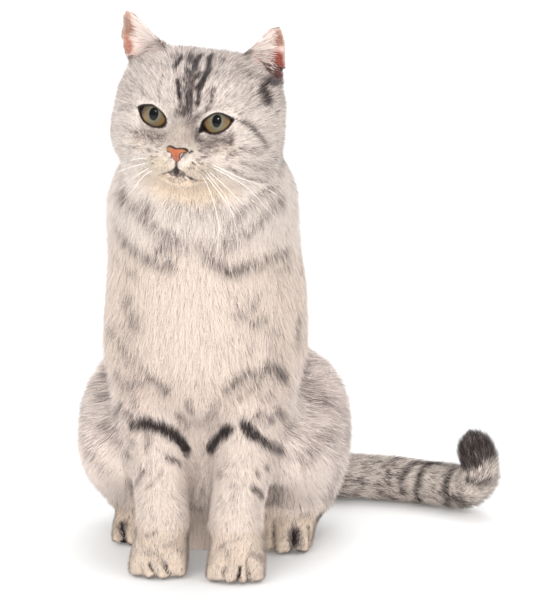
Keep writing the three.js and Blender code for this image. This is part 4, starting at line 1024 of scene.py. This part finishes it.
# the coat: closed three-sided tufts that taper, lean along the lie and gather at their tips
def growTufts(name, faces, count, clump=4.0, spread=0.22, speckle=1.0, paintedShade=0.44,
              wide=1.0, lengths=None, density=None, paint=None):
    corners = skinCorners[faces]
    a, b, c = (skinPoints[corners[:, k]] for k in range(3))
    area = np.linalg.norm(np.cross(b - a, c - a), axis=1) / 2
    chance = area * (skinDensity if density is None else density)[corners].mean(axis=1)
    total = np.concatenate([[0], np.cumsum(chance)])
    even = (np.arange(count) + random.random(count)) / count * total[-1]
    pick = np.minimum(np.searchsorted(total, even, side="right") - 1, len(faces) - 1)
    r1, r2 = np.sqrt(random.random(count)), random.random(count)
    weights = np.column_stack([1 - r1, r1 * (1 - r2), r1 * r2])
    chosen = corners[pick]

    def mixed(values):
        return np.einsum("nk,nk...->n...", weights, values[chosen])

    root, normal, along = mixed(skinPoints), unit(mixed(skinNormals)), unit(mixed(lie))
    nodes = nodeNames[chosen[:, 0]]
    across = np.cross(normal, along)
    sway = spread * random.normal(size=count) + 0.3 * softNoise(root, 15, 21) + 0.16 * softNoise(root, 5, 22)
    along = unit(along + across * sway[:, None])
    along = unit(along - (along * normal).sum(axis=1)[:, None] * normal)
    across = np.cross(normal, along)
    length = mixed(tuftLength if lengths is None else lengths) * (0.6 + 0.7 * random.random(count))
    length *= 1 - 0.5 * smoothStep(9, 2, root[:, 2])  # short where the cat meets the floor
    width = mixed(tuftWidth) * wide * (0.75 + 0.5 * random.random(count))
    rise = np.radians(mixed(tuftLift)) * (0.45 + 1.1 * random.random(count))
    tip = root + length[:, None] * (along * np.cos(rise)[:, None] + normal * np.sin(rise)[:, None])
    cell = np.floor(root / clump + 0.6 * random.normal(size=3)).astype(int)
    key = (cell[:, 0] * 8191 + cell[:, 1]) * 8191 + cell[:, 2]
    _, key = np.unique(key, return_inverse=True)
    members = np.bincount(key)[:, None]
    gathered = np.column_stack([np.bincount(key, tip[:, k]) for k in range(3)]) / members
    middle = np.column_stack([np.bincount(key, root[:, k]) for k in range(3)]) / members
    gap = np.linalg.norm(root - middle[key], axis=1) / clump
    tip += (gathered[key] - tip) * (0.05 + 0.32 * random.random(count))[:, None] * (members[key] > 2)
    tip[:, 2] = np.maximum(tip[:, 2], 0.4)

    half = (width / 2)[:, None]
    sunk = root - normal * 0.25
    points = np.stack([sunk - across * half, sunk + across * half, sunk + normal * half * 0.9, tip], axis=1)
    points[:, :, 2] = np.maximum(points[:, :, 2], 0.3)

    # a soft coat: each tuft is lit mostly as the body under it is
    forward = headTurn @ np.array([0, -1.0, 0.2])
    soft = unit(normal + mixed(inCup)[:, None] * forward)  # thin ears are lit evenly
    lit = np.stack([soft - 0.45 * across, soft + 0.45 * across, soft, soft + 0.25 * along], axis=1)

    shades, mottle = mixed(skinPale), mixed(skinMottle)
    wobble, together = speckle * random.normal(size=count), speckle * random.normal(size=len(members))[key]
    # painted shade: tufts by the partings between clumps are darker and those at a clump's middle lighter;
    # the rest is random tone per tuft and per clump
    tone = 1.08 + 0.35 * paintedShade - paintedShade * np.minimum(gap, 0.8)
    tone = tone * (1 + 0.07 * random.normal(size=count) + 0.05 * together)
    ticked, whitish = speckle * (random.random(count) < 0.12), random.random(count) < 0.14
    stray = np.minimum(0.06 * length, 0.6)[:, None] * random.normal(size=(count, 3))

    # the markings and the painted shade are read at both ends, so they stay sharp across the lie of the hair
    def colourAt(along01):
        dark, cream = markingAndShadeShare(root + stray + along * (length * along01)[:, None], nodes)
        share = np.maximum(mottle, dark) * (1 - cream)
        varied = share + wobble * (0.05 + 0.62 * share * (1 - share))
        varied = varied + 0.17 * together * (0.3 + share) * (share < 0.85)
        varied += 0.3 * ticked * (share < 0.35) * (1 - cream)
        colour = coatColour(shades, np.clip(varied, 0, 1))
        white = 0.6 * cream + 0.4 * whitish * (1 - share) ** 2
        return (colour + (whiteHair - colour) * white[:, None]) * tone[:, None]

    rootColour, tipColour = colourAt(0.1), colourAt(0.75)
    if paint is not None:
        rootColour = tipColour = paint(count)
    # painted shade among the hairs darkens the roots, together with the duller undercoat
    shade = 1 - 0.55 * paintedShade  # darker towards the skin
    atRoot, halfway = rootColour * shade, rootColour * (0.3 + 0.7 * shade)
    # painted light: the tips are a tenth brighter
    colours = np.stack([atRoot, atRoot, halfway, tipColour * 1.1], axis=1)
    colours = np.maximum(colours, 0.003) * np.minimum(1, 0.9 / colours.max(axis=2, keepdims=True))

    loops = np.array([0, 2, 1, 0, 1, 3, 1, 2, 3, 2, 0, 3])
    mesh = bpy.data.meshes.new(name)
    mesh.vertices.add(count * 4)
    mesh.vertices.foreach_set("co", (points * mm).ravel())
    mesh.loops.add(count * 12)
    mesh.loops.foreach_set("vertex_index", (loops[None, :] + 4 * np.arange(count)[:, None]).ravel())
    mesh.polygons.add(count * 4)
    mesh.polygons.foreach_set("loop_start", np.arange(count * 4) * 3)
    mesh.update(calc_edges=True)
    setColour(mesh, "coatTint", colours.reshape(-1, 3))

    # each tuft is a small patch at its root's place on an unwrap of this part of the skin
    flat = regionUnwrap(name, faces)
    spots = np.einsum("nk,nkc->nc", weights, flat[pick])
    patch = 0.0015 * np.array([(-1, -1), (1, -1), (0, -0.4), (0, 1)])
    uv = (np.clip(spots, 0.002, 0.998)[:, None, :] + patch[None])[:, loops]
    setValues(mesh.uv_layers.new(name="OFBake"), "uv", uv)
    mesh.materials.append(furMaterial)
    mesh.shade_smooth()
    setValues(mesh.attributes.new("custom_normal", "FLOAT_VECTOR", "POINT"), "vector", unit(lit))
    piece = bpy.data.objects.new(name, mesh)
    bpy.context.collection.objects.link(piece)
    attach(piece, "root")
    print(name, count, "tufts")
    return piece


# unwraps the skin's faces of one region, and gives each triangle's three places
def regionUnwrap(name, faces):
    corners = skinCorners[faces]
    used, flatCorners = np.unique(corners, return_inverse=True)
    part = bpy.data.meshes.new(name + "Part")
    part.from_pydata((skinPoints[used] * mm).tolist(), [], flatCorners.reshape(-1, 3).tolist())
    holder = bpy.data.objects.new(name + "Part", part)
    bpy.context.collection.objects.link(holder)
    selectOnly(holder)
    bpy.ops.object.mode_set(mode="EDIT")
    bpy.ops.mesh.select_all(action="SELECT")
    bpy.ops.uv.smart_project(angle_limit=math.radians(70), island_margin=0.004)
    bpy.ops.object.mode_set(mode="OBJECT")
    uv = np.empty(len(part.loops) * 2)
    part.uv_layers.active.data.foreach_get("uv", uv)
    bpy.data.objects.remove(holder)
    bpy.data.meshes.remove(part)
    return uv.reshape(-1, 3, 2)


# short plush fur: soft, matt, with the light edge that fine hair has against the light
furMaterial, tree, shader = newMaterial("cat fur, short plush", {
    "Roughness": 0.62, "Specular IOR Level": 0.25, "Sheen Weight": 0.15, "Sheen Roughness": 0.5})
tint = addNode(tree, "Attribute", {"attribute_name": "coatTint"})
tree.links.new(tint.outputs["Color"], shader.inputs["Base Color"])

# the skin with its underfur: the coat's colours, darkened as painted shade among the hairs, with fine combed
# bumps
skinMaterial, tree, shader = newMaterial("cat skin with underfur", {
    "Roughness": 0.7, "Specular IOR Level": 0.2})
tint = addNode(tree, "Attribute", {"attribute_name": "coatTint"})
tree.links.new(tint.outputs["Color"], shader.inputs["Base Color"])
place = addNode(tree, "TexCoord")
combed = addNode(tree, "Mapping", {"Scale": (1, 1, 0.25)}, {"Vector": place.outputs["Object"]})
hairSize = 1.1 * mm  # coarser than real underfur, so that it shows
hair = addNode(tree, "TexNoise", {"Scale": 1 / hairSize, "Detail": 2}, {"Vector": combed.outputs["Vector"]})
bump = addNode(tree, "Bump", {"Strength": 0.35, "Distance": 0.0004}, {"Height": hair.outputs["Fac"]})
tree.links.new(bump.outputs["Normal"], shader.inputs["Normal"])
skinMesh.materials.append(skinMaterial)
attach(skin, "root")
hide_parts(*fleshNodes)

# triangles of the skin, each with its region
skinMesh.calc_loop_triangles()
skinCorners = np.empty(len(skinMesh.loop_triangles) * 3, int)
skinMesh.loop_triangles.foreach_get("vertices", skinCorners)
skinCorners = skinCorners.reshape(-1, 3)
local = toHead(skinPoints)
skinDensity = np.ones(len(skinPoints))
skinDensity[lidDark > 0.4] = 0
skinDensity *= 1 - 0.3 * inCup
skinDensity[cleftShade > 0.8] = 0.4
noseBare = (local[:, 1] < -50) & insideOutline(local[:, [0, 2]], noseOutline)
skinDensity[noseBare] = 0
skinDensity[(skinPoints[:, 2] < 1.2)] = 0.05
triangleNode = nodeNames[skinCorners[:, 0]]
centre = local[skinCorners].mean(axis=1)
faceFront = np.isin(triangleNode, ["head", "muzzle"]) & (centre[:, 1] < -14) & (centre[:, 2] < 26)


def region(*nodes):
    return np.flatnonzero(np.isin(triangleNode, nodes) & ~faceFront)


nearMouth = np.full(len(skinPoints), 99.0)
for line in facePlan["mouthLine"]:
    away = distanceToLine(local[:, [0, 2]], smoothLine(line))
    nearMouth = np.minimum(nearMouth, np.where(local[:, 1] < -44, away, 99))
lengthOnFace = 0.6 + 0.4 * smoothStep(-52, -16, local[:, 1])
tuftLength *= np.where(isFace, lengthOnFace, 1)
tuftLength *= 0.6 + 0.4 * smoothStep(1, 5, nearMouth)
nearEye = np.full(len(skinPoints), 99.0)
for side, outline in eyeOutlines.items():
    offset = local - eyeCentre(side)
    near = np.flatnonzero((np.abs(offset[:, 0]) < 22) & (np.abs(offset[:, 2]) < 20) & (offset[:, 1] < 6))
    nearEye[near] = np.minimum(nearEye[near], distanceToLine(offset[near][:, [0, 2]], outline, closed=True))
tuftLength *= 0.4 + 0.6 * smoothStep(0.5, 7, nearEye)


def earPaint(count):
    tones = np.array([linearColour(c) for c in ("#fdf3ec", "#f3e0d6", "#d2b8ad", "#80655f")])
    chosen = random.choice(4, count, p=(0.48, 0.3, 0.15, 0.07))
    return tones[chosen] * (1 + 0.08 * random.normal(size=count))[:, None]


growTufts("faceCoat", np.flatnonzero(faceFront), 49000, clump=2.0, spread=0.2, speckle=1.5)
growTufts("crownCoat", region("head"), 31500, clump=3.0, speckle=1.3)
growTufts("earCoat", region("left_ear", "right_ear"), 18000, clump=1.6, speckle=1.6)
cupFaces = np.flatnonzero(inCup[skinCorners].mean(axis=1) > 0.4)
earLong = inCup * smoothStep(0.75, 0.3, earAcross)
earLong = earLong * smoothStep(66, 60, local[:, 2]) * smoothStep(26, 32, local[:, 2])
earReach = np.clip((1.0 - earAcross) * earReach * 0.62, 1.5, 12)
growTufts("earHairs", cupFaces, 1400, clump=3, spread=0.12, wide=2.2,
          lengths=earReach, density=earLong, paint=earPaint)
growTufts("neckCoat", region("neck"), 45000, clump=4.0)
growTufts("chestCoat", region("chest"), 49000, clump=4.5)
growTufts("backCoat", region("hips"), 36000, clump=4.5)
growTufts("leftThighCoat", region("left_thigh", "left_hock"), 27000, clump=4.2)
growTufts("rightThighCoat", region("right_thigh", "right_hock"), 27000, clump=4.2)
growTufts("forelegCoat", region("left_foreleg", "right_foreleg"), 40000, clump=3.2, paintedShade=0.6)
paws = region("left_forepaw", "right_forepaw", "left_hindpaw", "right_hindpaw")
growTufts("pawCoat", paws, 26000, clump=2.2, speckle=1.5, paintedShade=0.8)
tail = region("tail_root", "tail_middle", "tail_tip")
growTufts("tailCoat", tail, 26000, clump=3.4, spread=0.18, speckle=1.7, paintedShade=0.7)

# eyes: an eyeball each, with a green-hazel iris, a tall pupil and a wet front
eyePlan = {
    "iris": 8.8, "pupil": (3.1, 4.3), "bulge": 0.9, "rimColour": "#15100e", "pupilColour": "#07070a",
    "gold": "#7c6036", "brown": "#574538", "sage": "#63604f",
    "gaze": {"left": (0.070, -0.972, 0.225), "right": (0.075, -0.984, 0.165)},
}


def buildEye(side):
    centre = fromHead(eyeCentre(side)) * mm
    radius = headPlan["eyeRadius"] * mm
    deselectAll()
    bpy.ops.mesh.primitive_uv_sphere_add(segments=64, ring_count=40, radius=radius)
    ball = bpy.context.object
    ball.name = ball.data.name = side + "Eyeball"
    gaze = headTurn @ unit(np.array(eyePlan["gaze"][side]))
    up = headTurn @ np.array([0, 0, 1])
    across = unit(np.cross(gaze, up))
    up = np.cross(across, gaze)
    points = pointsOf(ball.data)  # its pole looks ahead
    ahead = points[:, 2] / radius
    points *= (1 + eyePlan["bulge"] * mm / radius * smoothStep(0.72, 1, ahead))[:, None]
    turned = points[:, [0]] * across + points[:, [1]] * up + points[:, [2]] * gaze
    ball.data.vertices.foreach_set("co", (turned + centre).ravel())
    ball.data.update()
    flat = points[:, :2] / mm
    layer = ball.data.attributes.new("irisPlace", "FLOAT_VECTOR", "POINT")
    setValues(layer, "vector", np.column_stack([flat, np.zeros(len(flat))]))
    ball.data.shade_smooth()
    ball.data.materials.append(eyeMaterial)
    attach(ball, "root")
    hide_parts(side + "_eye")
    return ball


eyeMaterial, tree, shader = newMaterial("cat eye, wet cornea over the iris", {
    "Roughness": 0.28, "Specular IOR Level": 0.1,
    "Coat Weight": 1.0, "Coat Roughness": 0.02, "Coat IOR": 1.33})
place = addNode(tree, "Attribute", {"attribute_name": "irisPlace"})
parts = addNode(tree, "SeparateXYZ", links={"Vector": place.outputs["Vector"]})
angle = addNode(tree, "Math", {"operation": "ARCTAN2"}, {0: parts.outputs["Y"], 1: parts.outputs["X"]})
reach = addNode(tree, "VectorMath", {"operation": "LENGTH"}, {0: place.outputs["Vector"]})
stretched = addNode(tree, "Math", {"operation": "MULTIPLY", 1: 0.06}, {0: reach.outputs["Value"]})
fibrePlace = addNode(tree, "CombineXYZ", links={"X": angle.outputs[0], "Y": stretched.outputs[0]})
fibres = addNode(tree, "TexNoise", {"Scale": 22, "Detail": 3}, {"Vector": fibrePlace.outputs["Vector"]})
blotches = addNode(tree, "TexNoise", {"Scale": 0.32, "Detail": 3},
                   {"Vector": place.outputs["Vector"]})  # about 3 mm across
lower = addNode(tree, "Math", {"operation": "MULTIPLY_ADD", 1: -0.035, 2: 0}, {0: parts.outputs["Y"]})
warm = addNode(tree, "Math", {"operation": "ADD"}, {0: blotches.outputs["Fac"], 1: lower.outputs[0]})
warmth = addNode(tree, "MapRange", {"From Min": 0.38, "From Max": 0.66}, {"Value": warm.outputs[0]})


# a colour that goes from one to the other as its share grows
def blendColours(share, first, second):
    node = addNode(tree, "Mix", {"data_type": "RGBA"}, {0: share})
    for socket, value in ((6, first), (7, second)):  # sockets 6 and 7 are the two colours
        if isinstance(value, str):
            node.inputs[socket].default_value = linearColour(eyePlan[value]) + [1]
        else:
            tree.links.new(value, node.inputs[socket])
    return node.outputs[2]


ground = blendColours(warmth.outputs["Result"], "brown", "gold")
pupilX = addNode(tree, "Math", {"operation": "DIVIDE", 1: eyePlan["pupil"][0]}, {0: parts.outputs["X"]})
pupilY = addNode(tree, "Math", {"operation": "DIVIDE", 1: eyePlan["pupil"][1]}, {0: parts.outputs["Y"]})
pupilPlace = addNode(tree, "CombineXYZ", links={"X": pupilX.outputs[0], "Y": pupilY.outputs[0]})
pupilReach = addNode(tree, "VectorMath", {"operation": "LENGTH"}, {0: pupilPlace.outputs["Vector"]})
frayed = addNode(tree, "Math", {"operation": "MULTIPLY_ADD", 1: 0.5},
                 {0: fibres.outputs["Fac"], 2: pupilReach.outputs["Value"]})
sageEdge = addNode(tree, "MapRange", {"From Min": 1.45, "From Max": 2.35}, {"Value": frayed.outputs[0]})
iris = blendColours(sageEdge.outputs["Result"], "sage", ground)
rimReach = addNode(tree, "Math", {"operation": "DIVIDE", 1: eyePlan["iris"]}, {0: reach.outputs["Value"]})
rimEdge = addNode(tree, "MapRange", {"From Min": 0.84, "From Max": 1.0}, {"Value": rimReach.outputs[0]})
rimmed = blendColours(rimEdge.outputs["Result"], iris, "rimColour")
pupilEdge = addNode(tree, "MapRange", {"From Min": 0.9, "From Max": 1.1},
                    {"Value": pupilReach.outputs["Value"]})
painted = addNode(tree, "Mix", {"data_type": "RGBA", 6: linearColour(eyePlan["pupilColour"]) + [1]},
                  {0: pupilEdge.outputs["Result"], 7: rimmed})
lidShade = addNode(tree, "MapRange", {"From Min": 1.0, "From Max": 7.0, "To Min": 1.0, "To Max": 0.45},
                   {"Value": parts.outputs["Y"]})  # darker under the upper lid
shaded = addNode(tree, "VectorMath", {"operation": "SCALE"},
                 {0: painted.outputs[2], "Scale": lidShade.outputs["Result"]})
tree.links.new(shaded.outputs["Vector"], shader.inputs["Base Color"])

for side in ("left", "right"):
    buildEye(side)


# a tube along points in mm, with a radius at each, closed at both ends or into a ring
def tubeMesh(name, lines, sides=8):
    points, faces = [], []
    for line, radii, ring in lines:
        line = np.asarray(line, float)
        count = len(line)
        ahead = np.roll(line, -1, axis=0) - np.roll(line, 1, axis=0) if ring else np.gradient(line, axis=0)
        tangents = unit(ahead)
        helper = unit(np.cross(tangents, [0.3, 0.9, 0.31]))
        other = np.cross(tangents, helper)
        start = len(points)
        angles = 2 * np.pi * np.arange(sides) / sides
        for k in range(count):
            for angle in angles:
                spoke = math.cos(angle) * helper[k] + math.sin(angle) * other[k]
                points.append(line[k] + radii[k] * spoke)
        for k in range(count if ring else count - 1):
            a, b = start + k * sides, start + (k + 1) % count * sides
            for s in range(sides):
                t = (s + 1) % sides
                faces.append((a + s, a + t, b + t, b + s))
        if not ring:
            faces.append(tuple(start + s for s in reversed(range(sides))))
            faces.append(tuple(start + (count - 1) * sides + s for s in range(sides)))
    mesh = bpy.data.meshes.new(name)
    mesh.from_pydata((np.array(points) * mm).tolist(), [], faces)
    piece = bpy.data.objects.new(name, mesh)
    bpy.context.collection.objects.link(piece)
    mesh.shade_smooth()
    return piece


# lid margins: bare, dark and wet
rimMaterial, tree, shader = newMaterial("cat lid margin, bare wet skin", {
    "Base Color": linearColour("#241b19") + [1], "Roughness": 0.35})
place = addNode(tree, "TexCoord")
pores = addNode(tree, "TexNoise", {"Scale": 1 / (0.5 * mm)}, {"Vector": place.outputs["Object"]})
bump = addNode(tree, "Bump", {"Strength": 0.2, "Distance": 0.0001}, {"Height": pores.outputs["Fac"]})
tree.links.new(bump.outputs["Normal"], shader.inputs["Normal"])
rimLines = []
for side, outline in eyeOutlines.items():
    tangent = unit(np.roll(outline, -1, axis=0) - np.roll(outline, 1, axis=0))
    inward = np.column_stack([tangent[:, 1], -tangent[:, 0]]) * (1 if side == "left" else -1)
    edge = outline + 0.35 * inward
    depth = domeDepth(edge, headPlan["eyeRadius"] + 0.5)
    line = eyeCentre(side) + np.column_stack([edge[:, 0], depth, edge[:, 1]])
    lower = smoothStep(3, -5, outline[:, 1])
    rimLines.append((fromHead(line), 0.36 + 0.2 * lower, True))
rims = tubeMesh("lidMargins", rimLines, 10)
rims.data.materials.append(rimMaterial)
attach(rims, "root")

# nose leather: a grid shaped in the head's frame, with wings, nostrils and the cleft
nosePlan = {
    "front": -66.8, "lean": 0.30, "round": 1.9, "pit": 2.4,
    "nostrils": [[(3.2, -18.6), (3.6, -16.9), (5.2, -15.8), (7.2, -15.0)],
                 [(-2.9, -18.8), (-3.7, -17.4), (-4.9, -16.6), (-6.5, -16.0)]],
    # the nostril tone is painted shade in the pits
    "middle": "#9c5639", "wings": "#93643f", "lower": "#a3604f", "edge": "#2e1a15", "nostril": "#120a09",
}
deselectAll()
bpy.ops.mesh.primitive_grid_add(x_subdivisions=72, y_subdivisions=52, size=1)
nose = bpy.context.object
nose.name = nose.data.name = "noseLeather"
flat = pointsOf(nose.data)[:, :2] * np.array([18.5, 12.5]) + np.array([0.6, -16.8])
apart = distanceToLine(flat, noseOutline, closed=True)
inside = insideOutline(flat, noseOutline)
signed = np.where(inside, apart, -apart)
y = nosePlan["front"] - nosePlan["lean"] * (flat[:, 1] + 17) + 0.045 * (flat[:, 0] - 0.6) ** 2
y -= nosePlan["round"] * (1 - np.exp(-np.maximum(signed, -1) / 1.3)) - 0.3
y += np.where(signed < 0, 6 * np.minimum(-signed, 1.2), 0)
y += 0.55 * np.exp(-((flat[:, 0] - 0.5) / 0.55) ** 2) * smoothStep(-15.5, -18.5, flat[:, 1])
pit = np.full(len(flat), 99.0)
for line in nosePlan["nostrils"]:
    pit = np.minimum(pit, distanceToLine(flat, smoothLine(line)))
y += nosePlan["pit"] * np.exp(-(pit / 0.7) ** 2)
y -= 0.35 * np.exp(-((pit - 1.7) / 0.7) ** 2) * inside
nosePoints = fromHead(np.column_stack([flat[:, 0], y, flat[:, 1]]))
movePoints(nose.data, nosePoints)
# painted shade: black deep in the nostrils' pits
nostrilShade = np.clip(np.exp(-(pit / 0.75) ** 2) * 1.2, 0, 1)[:, None]
edgeTint = smoothStep(0.45, 0.0, signed)[:, None]
wingShare = smoothStep(2.2, 4.6, np.abs(flat[:, 0] - 0.3))[:, None]
lowShare = smoothStep(-17.5, -19.5, flat[:, 1])[:, None]
middleTint, wingTint = (np.array(linearColour(nosePlan[k])) for k in ("middle", "wings"))
colour = middleTint * (1 - wingShare) + wingTint * wingShare
colour += (np.array(linearColour(nosePlan["lower"])) - colour) * lowShare
colour *= (1 + 0.12 * softNoise(nosePoints, 1.6, 5))[:, None]
# painted shade in the groove down the middle of the leather
grooveShade = np.exp(-((flat[:, 0] - 0.6) / 0.35) ** 2) * smoothStep(-16, -18, flat[:, 1])
colour *= (1 - 0.45 * grooveShade)[:, None]
colour += (np.array(linearColour(nosePlan["edge"])) - colour) * edgeTint
colour += (np.array(linearColour(nosePlan["nostril"])) - colour) * nostrilShade
setColour(nose.data, "leatherTint", np.clip(colour, 0, 1))
selectPart(nose, "vertices", signed < -0.7)
bpy.ops.mesh.delete(type="VERT")
bpy.ops.mesh.select_all(action="SELECT")
bpy.ops.mesh.normals_make_consistent(inside=False)
bpy.ops.object.mode_set(mode="OBJECT")
if (normalsOf(nose.data) @ headTurn)[:, 1].mean() > 0:
    nose.data.flip_normals()
applyModifier(nose, "SOLIDIFY", thickness=1.6 * mm, offset=-1)
noseMaterial, tree, shader = newMaterial("cat nose leather", {
    "Roughness": 0.42, "Subsurface Weight": 0.1, "Subsurface Radius": (0.0012, 0.0005, 0.0003)})
tint = addNode(tree, "Attribute", {"attribute_name": "leatherTint"})
tree.links.new(tint.outputs["Color"], shader.inputs["Base Color"])
place = addNode(tree, "TexCoord")
pebbleSize = 0.55 * mm
pebbles = addNode(tree, "TexVoronoi", {"Scale": 1 / pebbleSize}, {"Vector": place.outputs["Object"]})
bump = addNode(tree, "Bump", {"Strength": 0.3, "Distance": 0.00015}, {"Height": pebbles.outputs["Distance"]})
tree.links.new(bump.outputs["Normal"], shader.inputs["Normal"])
nose.data.materials.append(noseMaterial)
nose.data.shade_smooth()
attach(nose, "root")
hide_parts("nose")
print("eyes and nose made")

# whiskers: stiff white hairs from the pads and brows, drooping in front of the chest, in the head's frame
whiskerPlan = {
    "radius": 0.17, "tipRadius": 0.04,
    "leftPad": [((12, -56, -25), (22, -60, -36), (31, -60, -58), (31, -54, -80)),
                ((14, -55, -25), (27, -60, -36), (40, -58, -53), (45, -50, -82)),
                ((15, -54, -23), (32, -57, -34), (44, -54, -45), (56, -46, -60)),
                ((17, -52, -22), (43, -54, -32), (55, -50, -42), (68, -42, -56)),
                ((16, -53, -20), (41, -54, -28), (56, -46, -33), (72, -36, -44)),
                ((13, -57, -22), (24, -61, -30), (36, -60, -44), (40, -54, -66))],
    "rightPad": [((-9, -56, -25), (-21, -59, -34), (-27, -57, -43), (-36, -52, -55)),
                 ((-11, -55, -23), (-24, -57, -33), (-32, -54, -40), (-43, -47, -50)),
                 ((-12, -54, -21), (-26, -55, -24), (-34, -51, -27), (-46, -43, -33)),
                 ((-10, -55, -22), (-28, -55, -29), (-40, -50, -35), (-52, -42, -44))],
    "browHairs": [((17, -42, 14), (19, -46, 17), (24, -46, 25), (31, -42, 34)),
                  ((-20, -42, 14), (-23, -45, 18), (-27, -44, 25))],
}
whiskerLines = []
for group in ("leftPad", "rightPad", "browHairs"):
    for line in whiskerPlan[group]:
        curve = smoothLine(fromHead(np.array(line, float)), 9)
        t = np.linspace(0, 1, len(curve))
        scale = 0.7 if group == "browHairs" else 1
        radii = scale * (whiskerPlan["radius"] * (1 - t) + whiskerPlan["tipRadius"] * t)
        whiskerLines.append((curve, radii, False))
whiskers = tubeMesh("whiskers", whiskerLines, 5)
whiskerMaterial, tree, shader = newMaterial("whisker, white keratin", {
    "Base Color": linearColour("#fbf8f4") + [1], "Roughness": 0.35})
place = addNode(tree, "TexCoord")
rough = addNode(tree, "TexNoise", {"Scale": 1 / (2 * mm)}, {"Vector": place.outputs["Object"]})
bump = addNode(tree, "Bump", {"Strength": 0.1, "Distance": 0.0001}, {"Height": rough.outputs["Fac"]})
tree.links.new(bump.outputs["Normal"], shader.inputs["Normal"])
whiskers.data.materials.append(whiskerMaterial)
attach(whiskers, "root")

# floor and light of a plain white studio
deselectAll()
bpy.ops.mesh.primitive_plane_add(size=60, location=(0, 20, 0))
floor = bpy.context.object
floor.name = "floor"
floorMaterial, tree, shader = newMaterial("white studio paper", {  # painted light: the paper glows a little, to lift the shadows on it
    "Base Color": (0.7, 0.7, 0.7, 1), "Roughness": 0.9, "Specular IOR Level": 0.1,
    "Emission Color": (1, 0.99, 0.98, 1), "Emission Strength": 0.1})
floor.data.materials.append(floorMaterial)

# white all round to the eye, and softer where it is mirrored in eyes and nose
world = bpy.data.worlds.new("studio")
bpy.context.scene.world = world
world.use_nodes = True
tree = world.node_tree
ray = addNode(tree, "LightPath")
seen = addNode(tree, "MapRange", {"To Min": 1.1, "To Max": 1.0}, {"Value": ray.outputs["Is Camera Ray"]})
soft = addNode(tree, "MapRange", {"To Min": 1.0, "To Max": 0.28}, {"Value": ray.outputs["Is Glossy Ray"]})
strength = addNode(tree, "Math", {"operation": "MULTIPLY"},
                   {0: seen.outputs["Result"], 1: soft.outputs["Result"]})
tree.links.new(strength.outputs[0], tree.nodes["Background"].inputs["Strength"])
tree.nodes["Background"].inputs["Color"].default_value = (1, 1, 1, 1)
# large soft boxes far away stand as broad suns: the place they shine from, breadth in degrees, strength
lightPlan = {
    "key": ((-1.0, -1.7, 1.3), 35, 1.1), "front": ((0.05, -1.75, 0.3), 30, 1.7),
    "fill": ((1.5, -1.4, 0.7), 40, 0.6), "top": ((0.1, 0.8, 1.7), 45, 1.2),
}


# adds a light that points at the cat's middle
def addLight(name, kind, place):
    deselectAll()
    aim = Vector((0, 0, 0.2)) - Vector(place)
    bpy.ops.object.light_add(type=kind, location=place, rotation=aim.to_track_quat("-Z", "Y").to_euler())
    bpy.context.object.name = name
    return bpy.context.object


for name, (place, breadth, strength) in lightPlan.items():
    light = addLight(name, "SUN", place)
    light.data.angle = math.radians(breadth)
    light.data.energy = strength
    light.visible_glossy = False
glintPlan = {"place": (-0.02, -1.37, 1.13), "size": 0.16, "power": 4}  # the small lamp that shows in the eyes
glint = addLight("glint", "AREA", glintPlan["place"])
glint.data.size = glintPlan["size"]
glint.data.energy = glintPlan["power"]
bpy.context.scene.view_settings.view_transform = "Standard"

print("done")
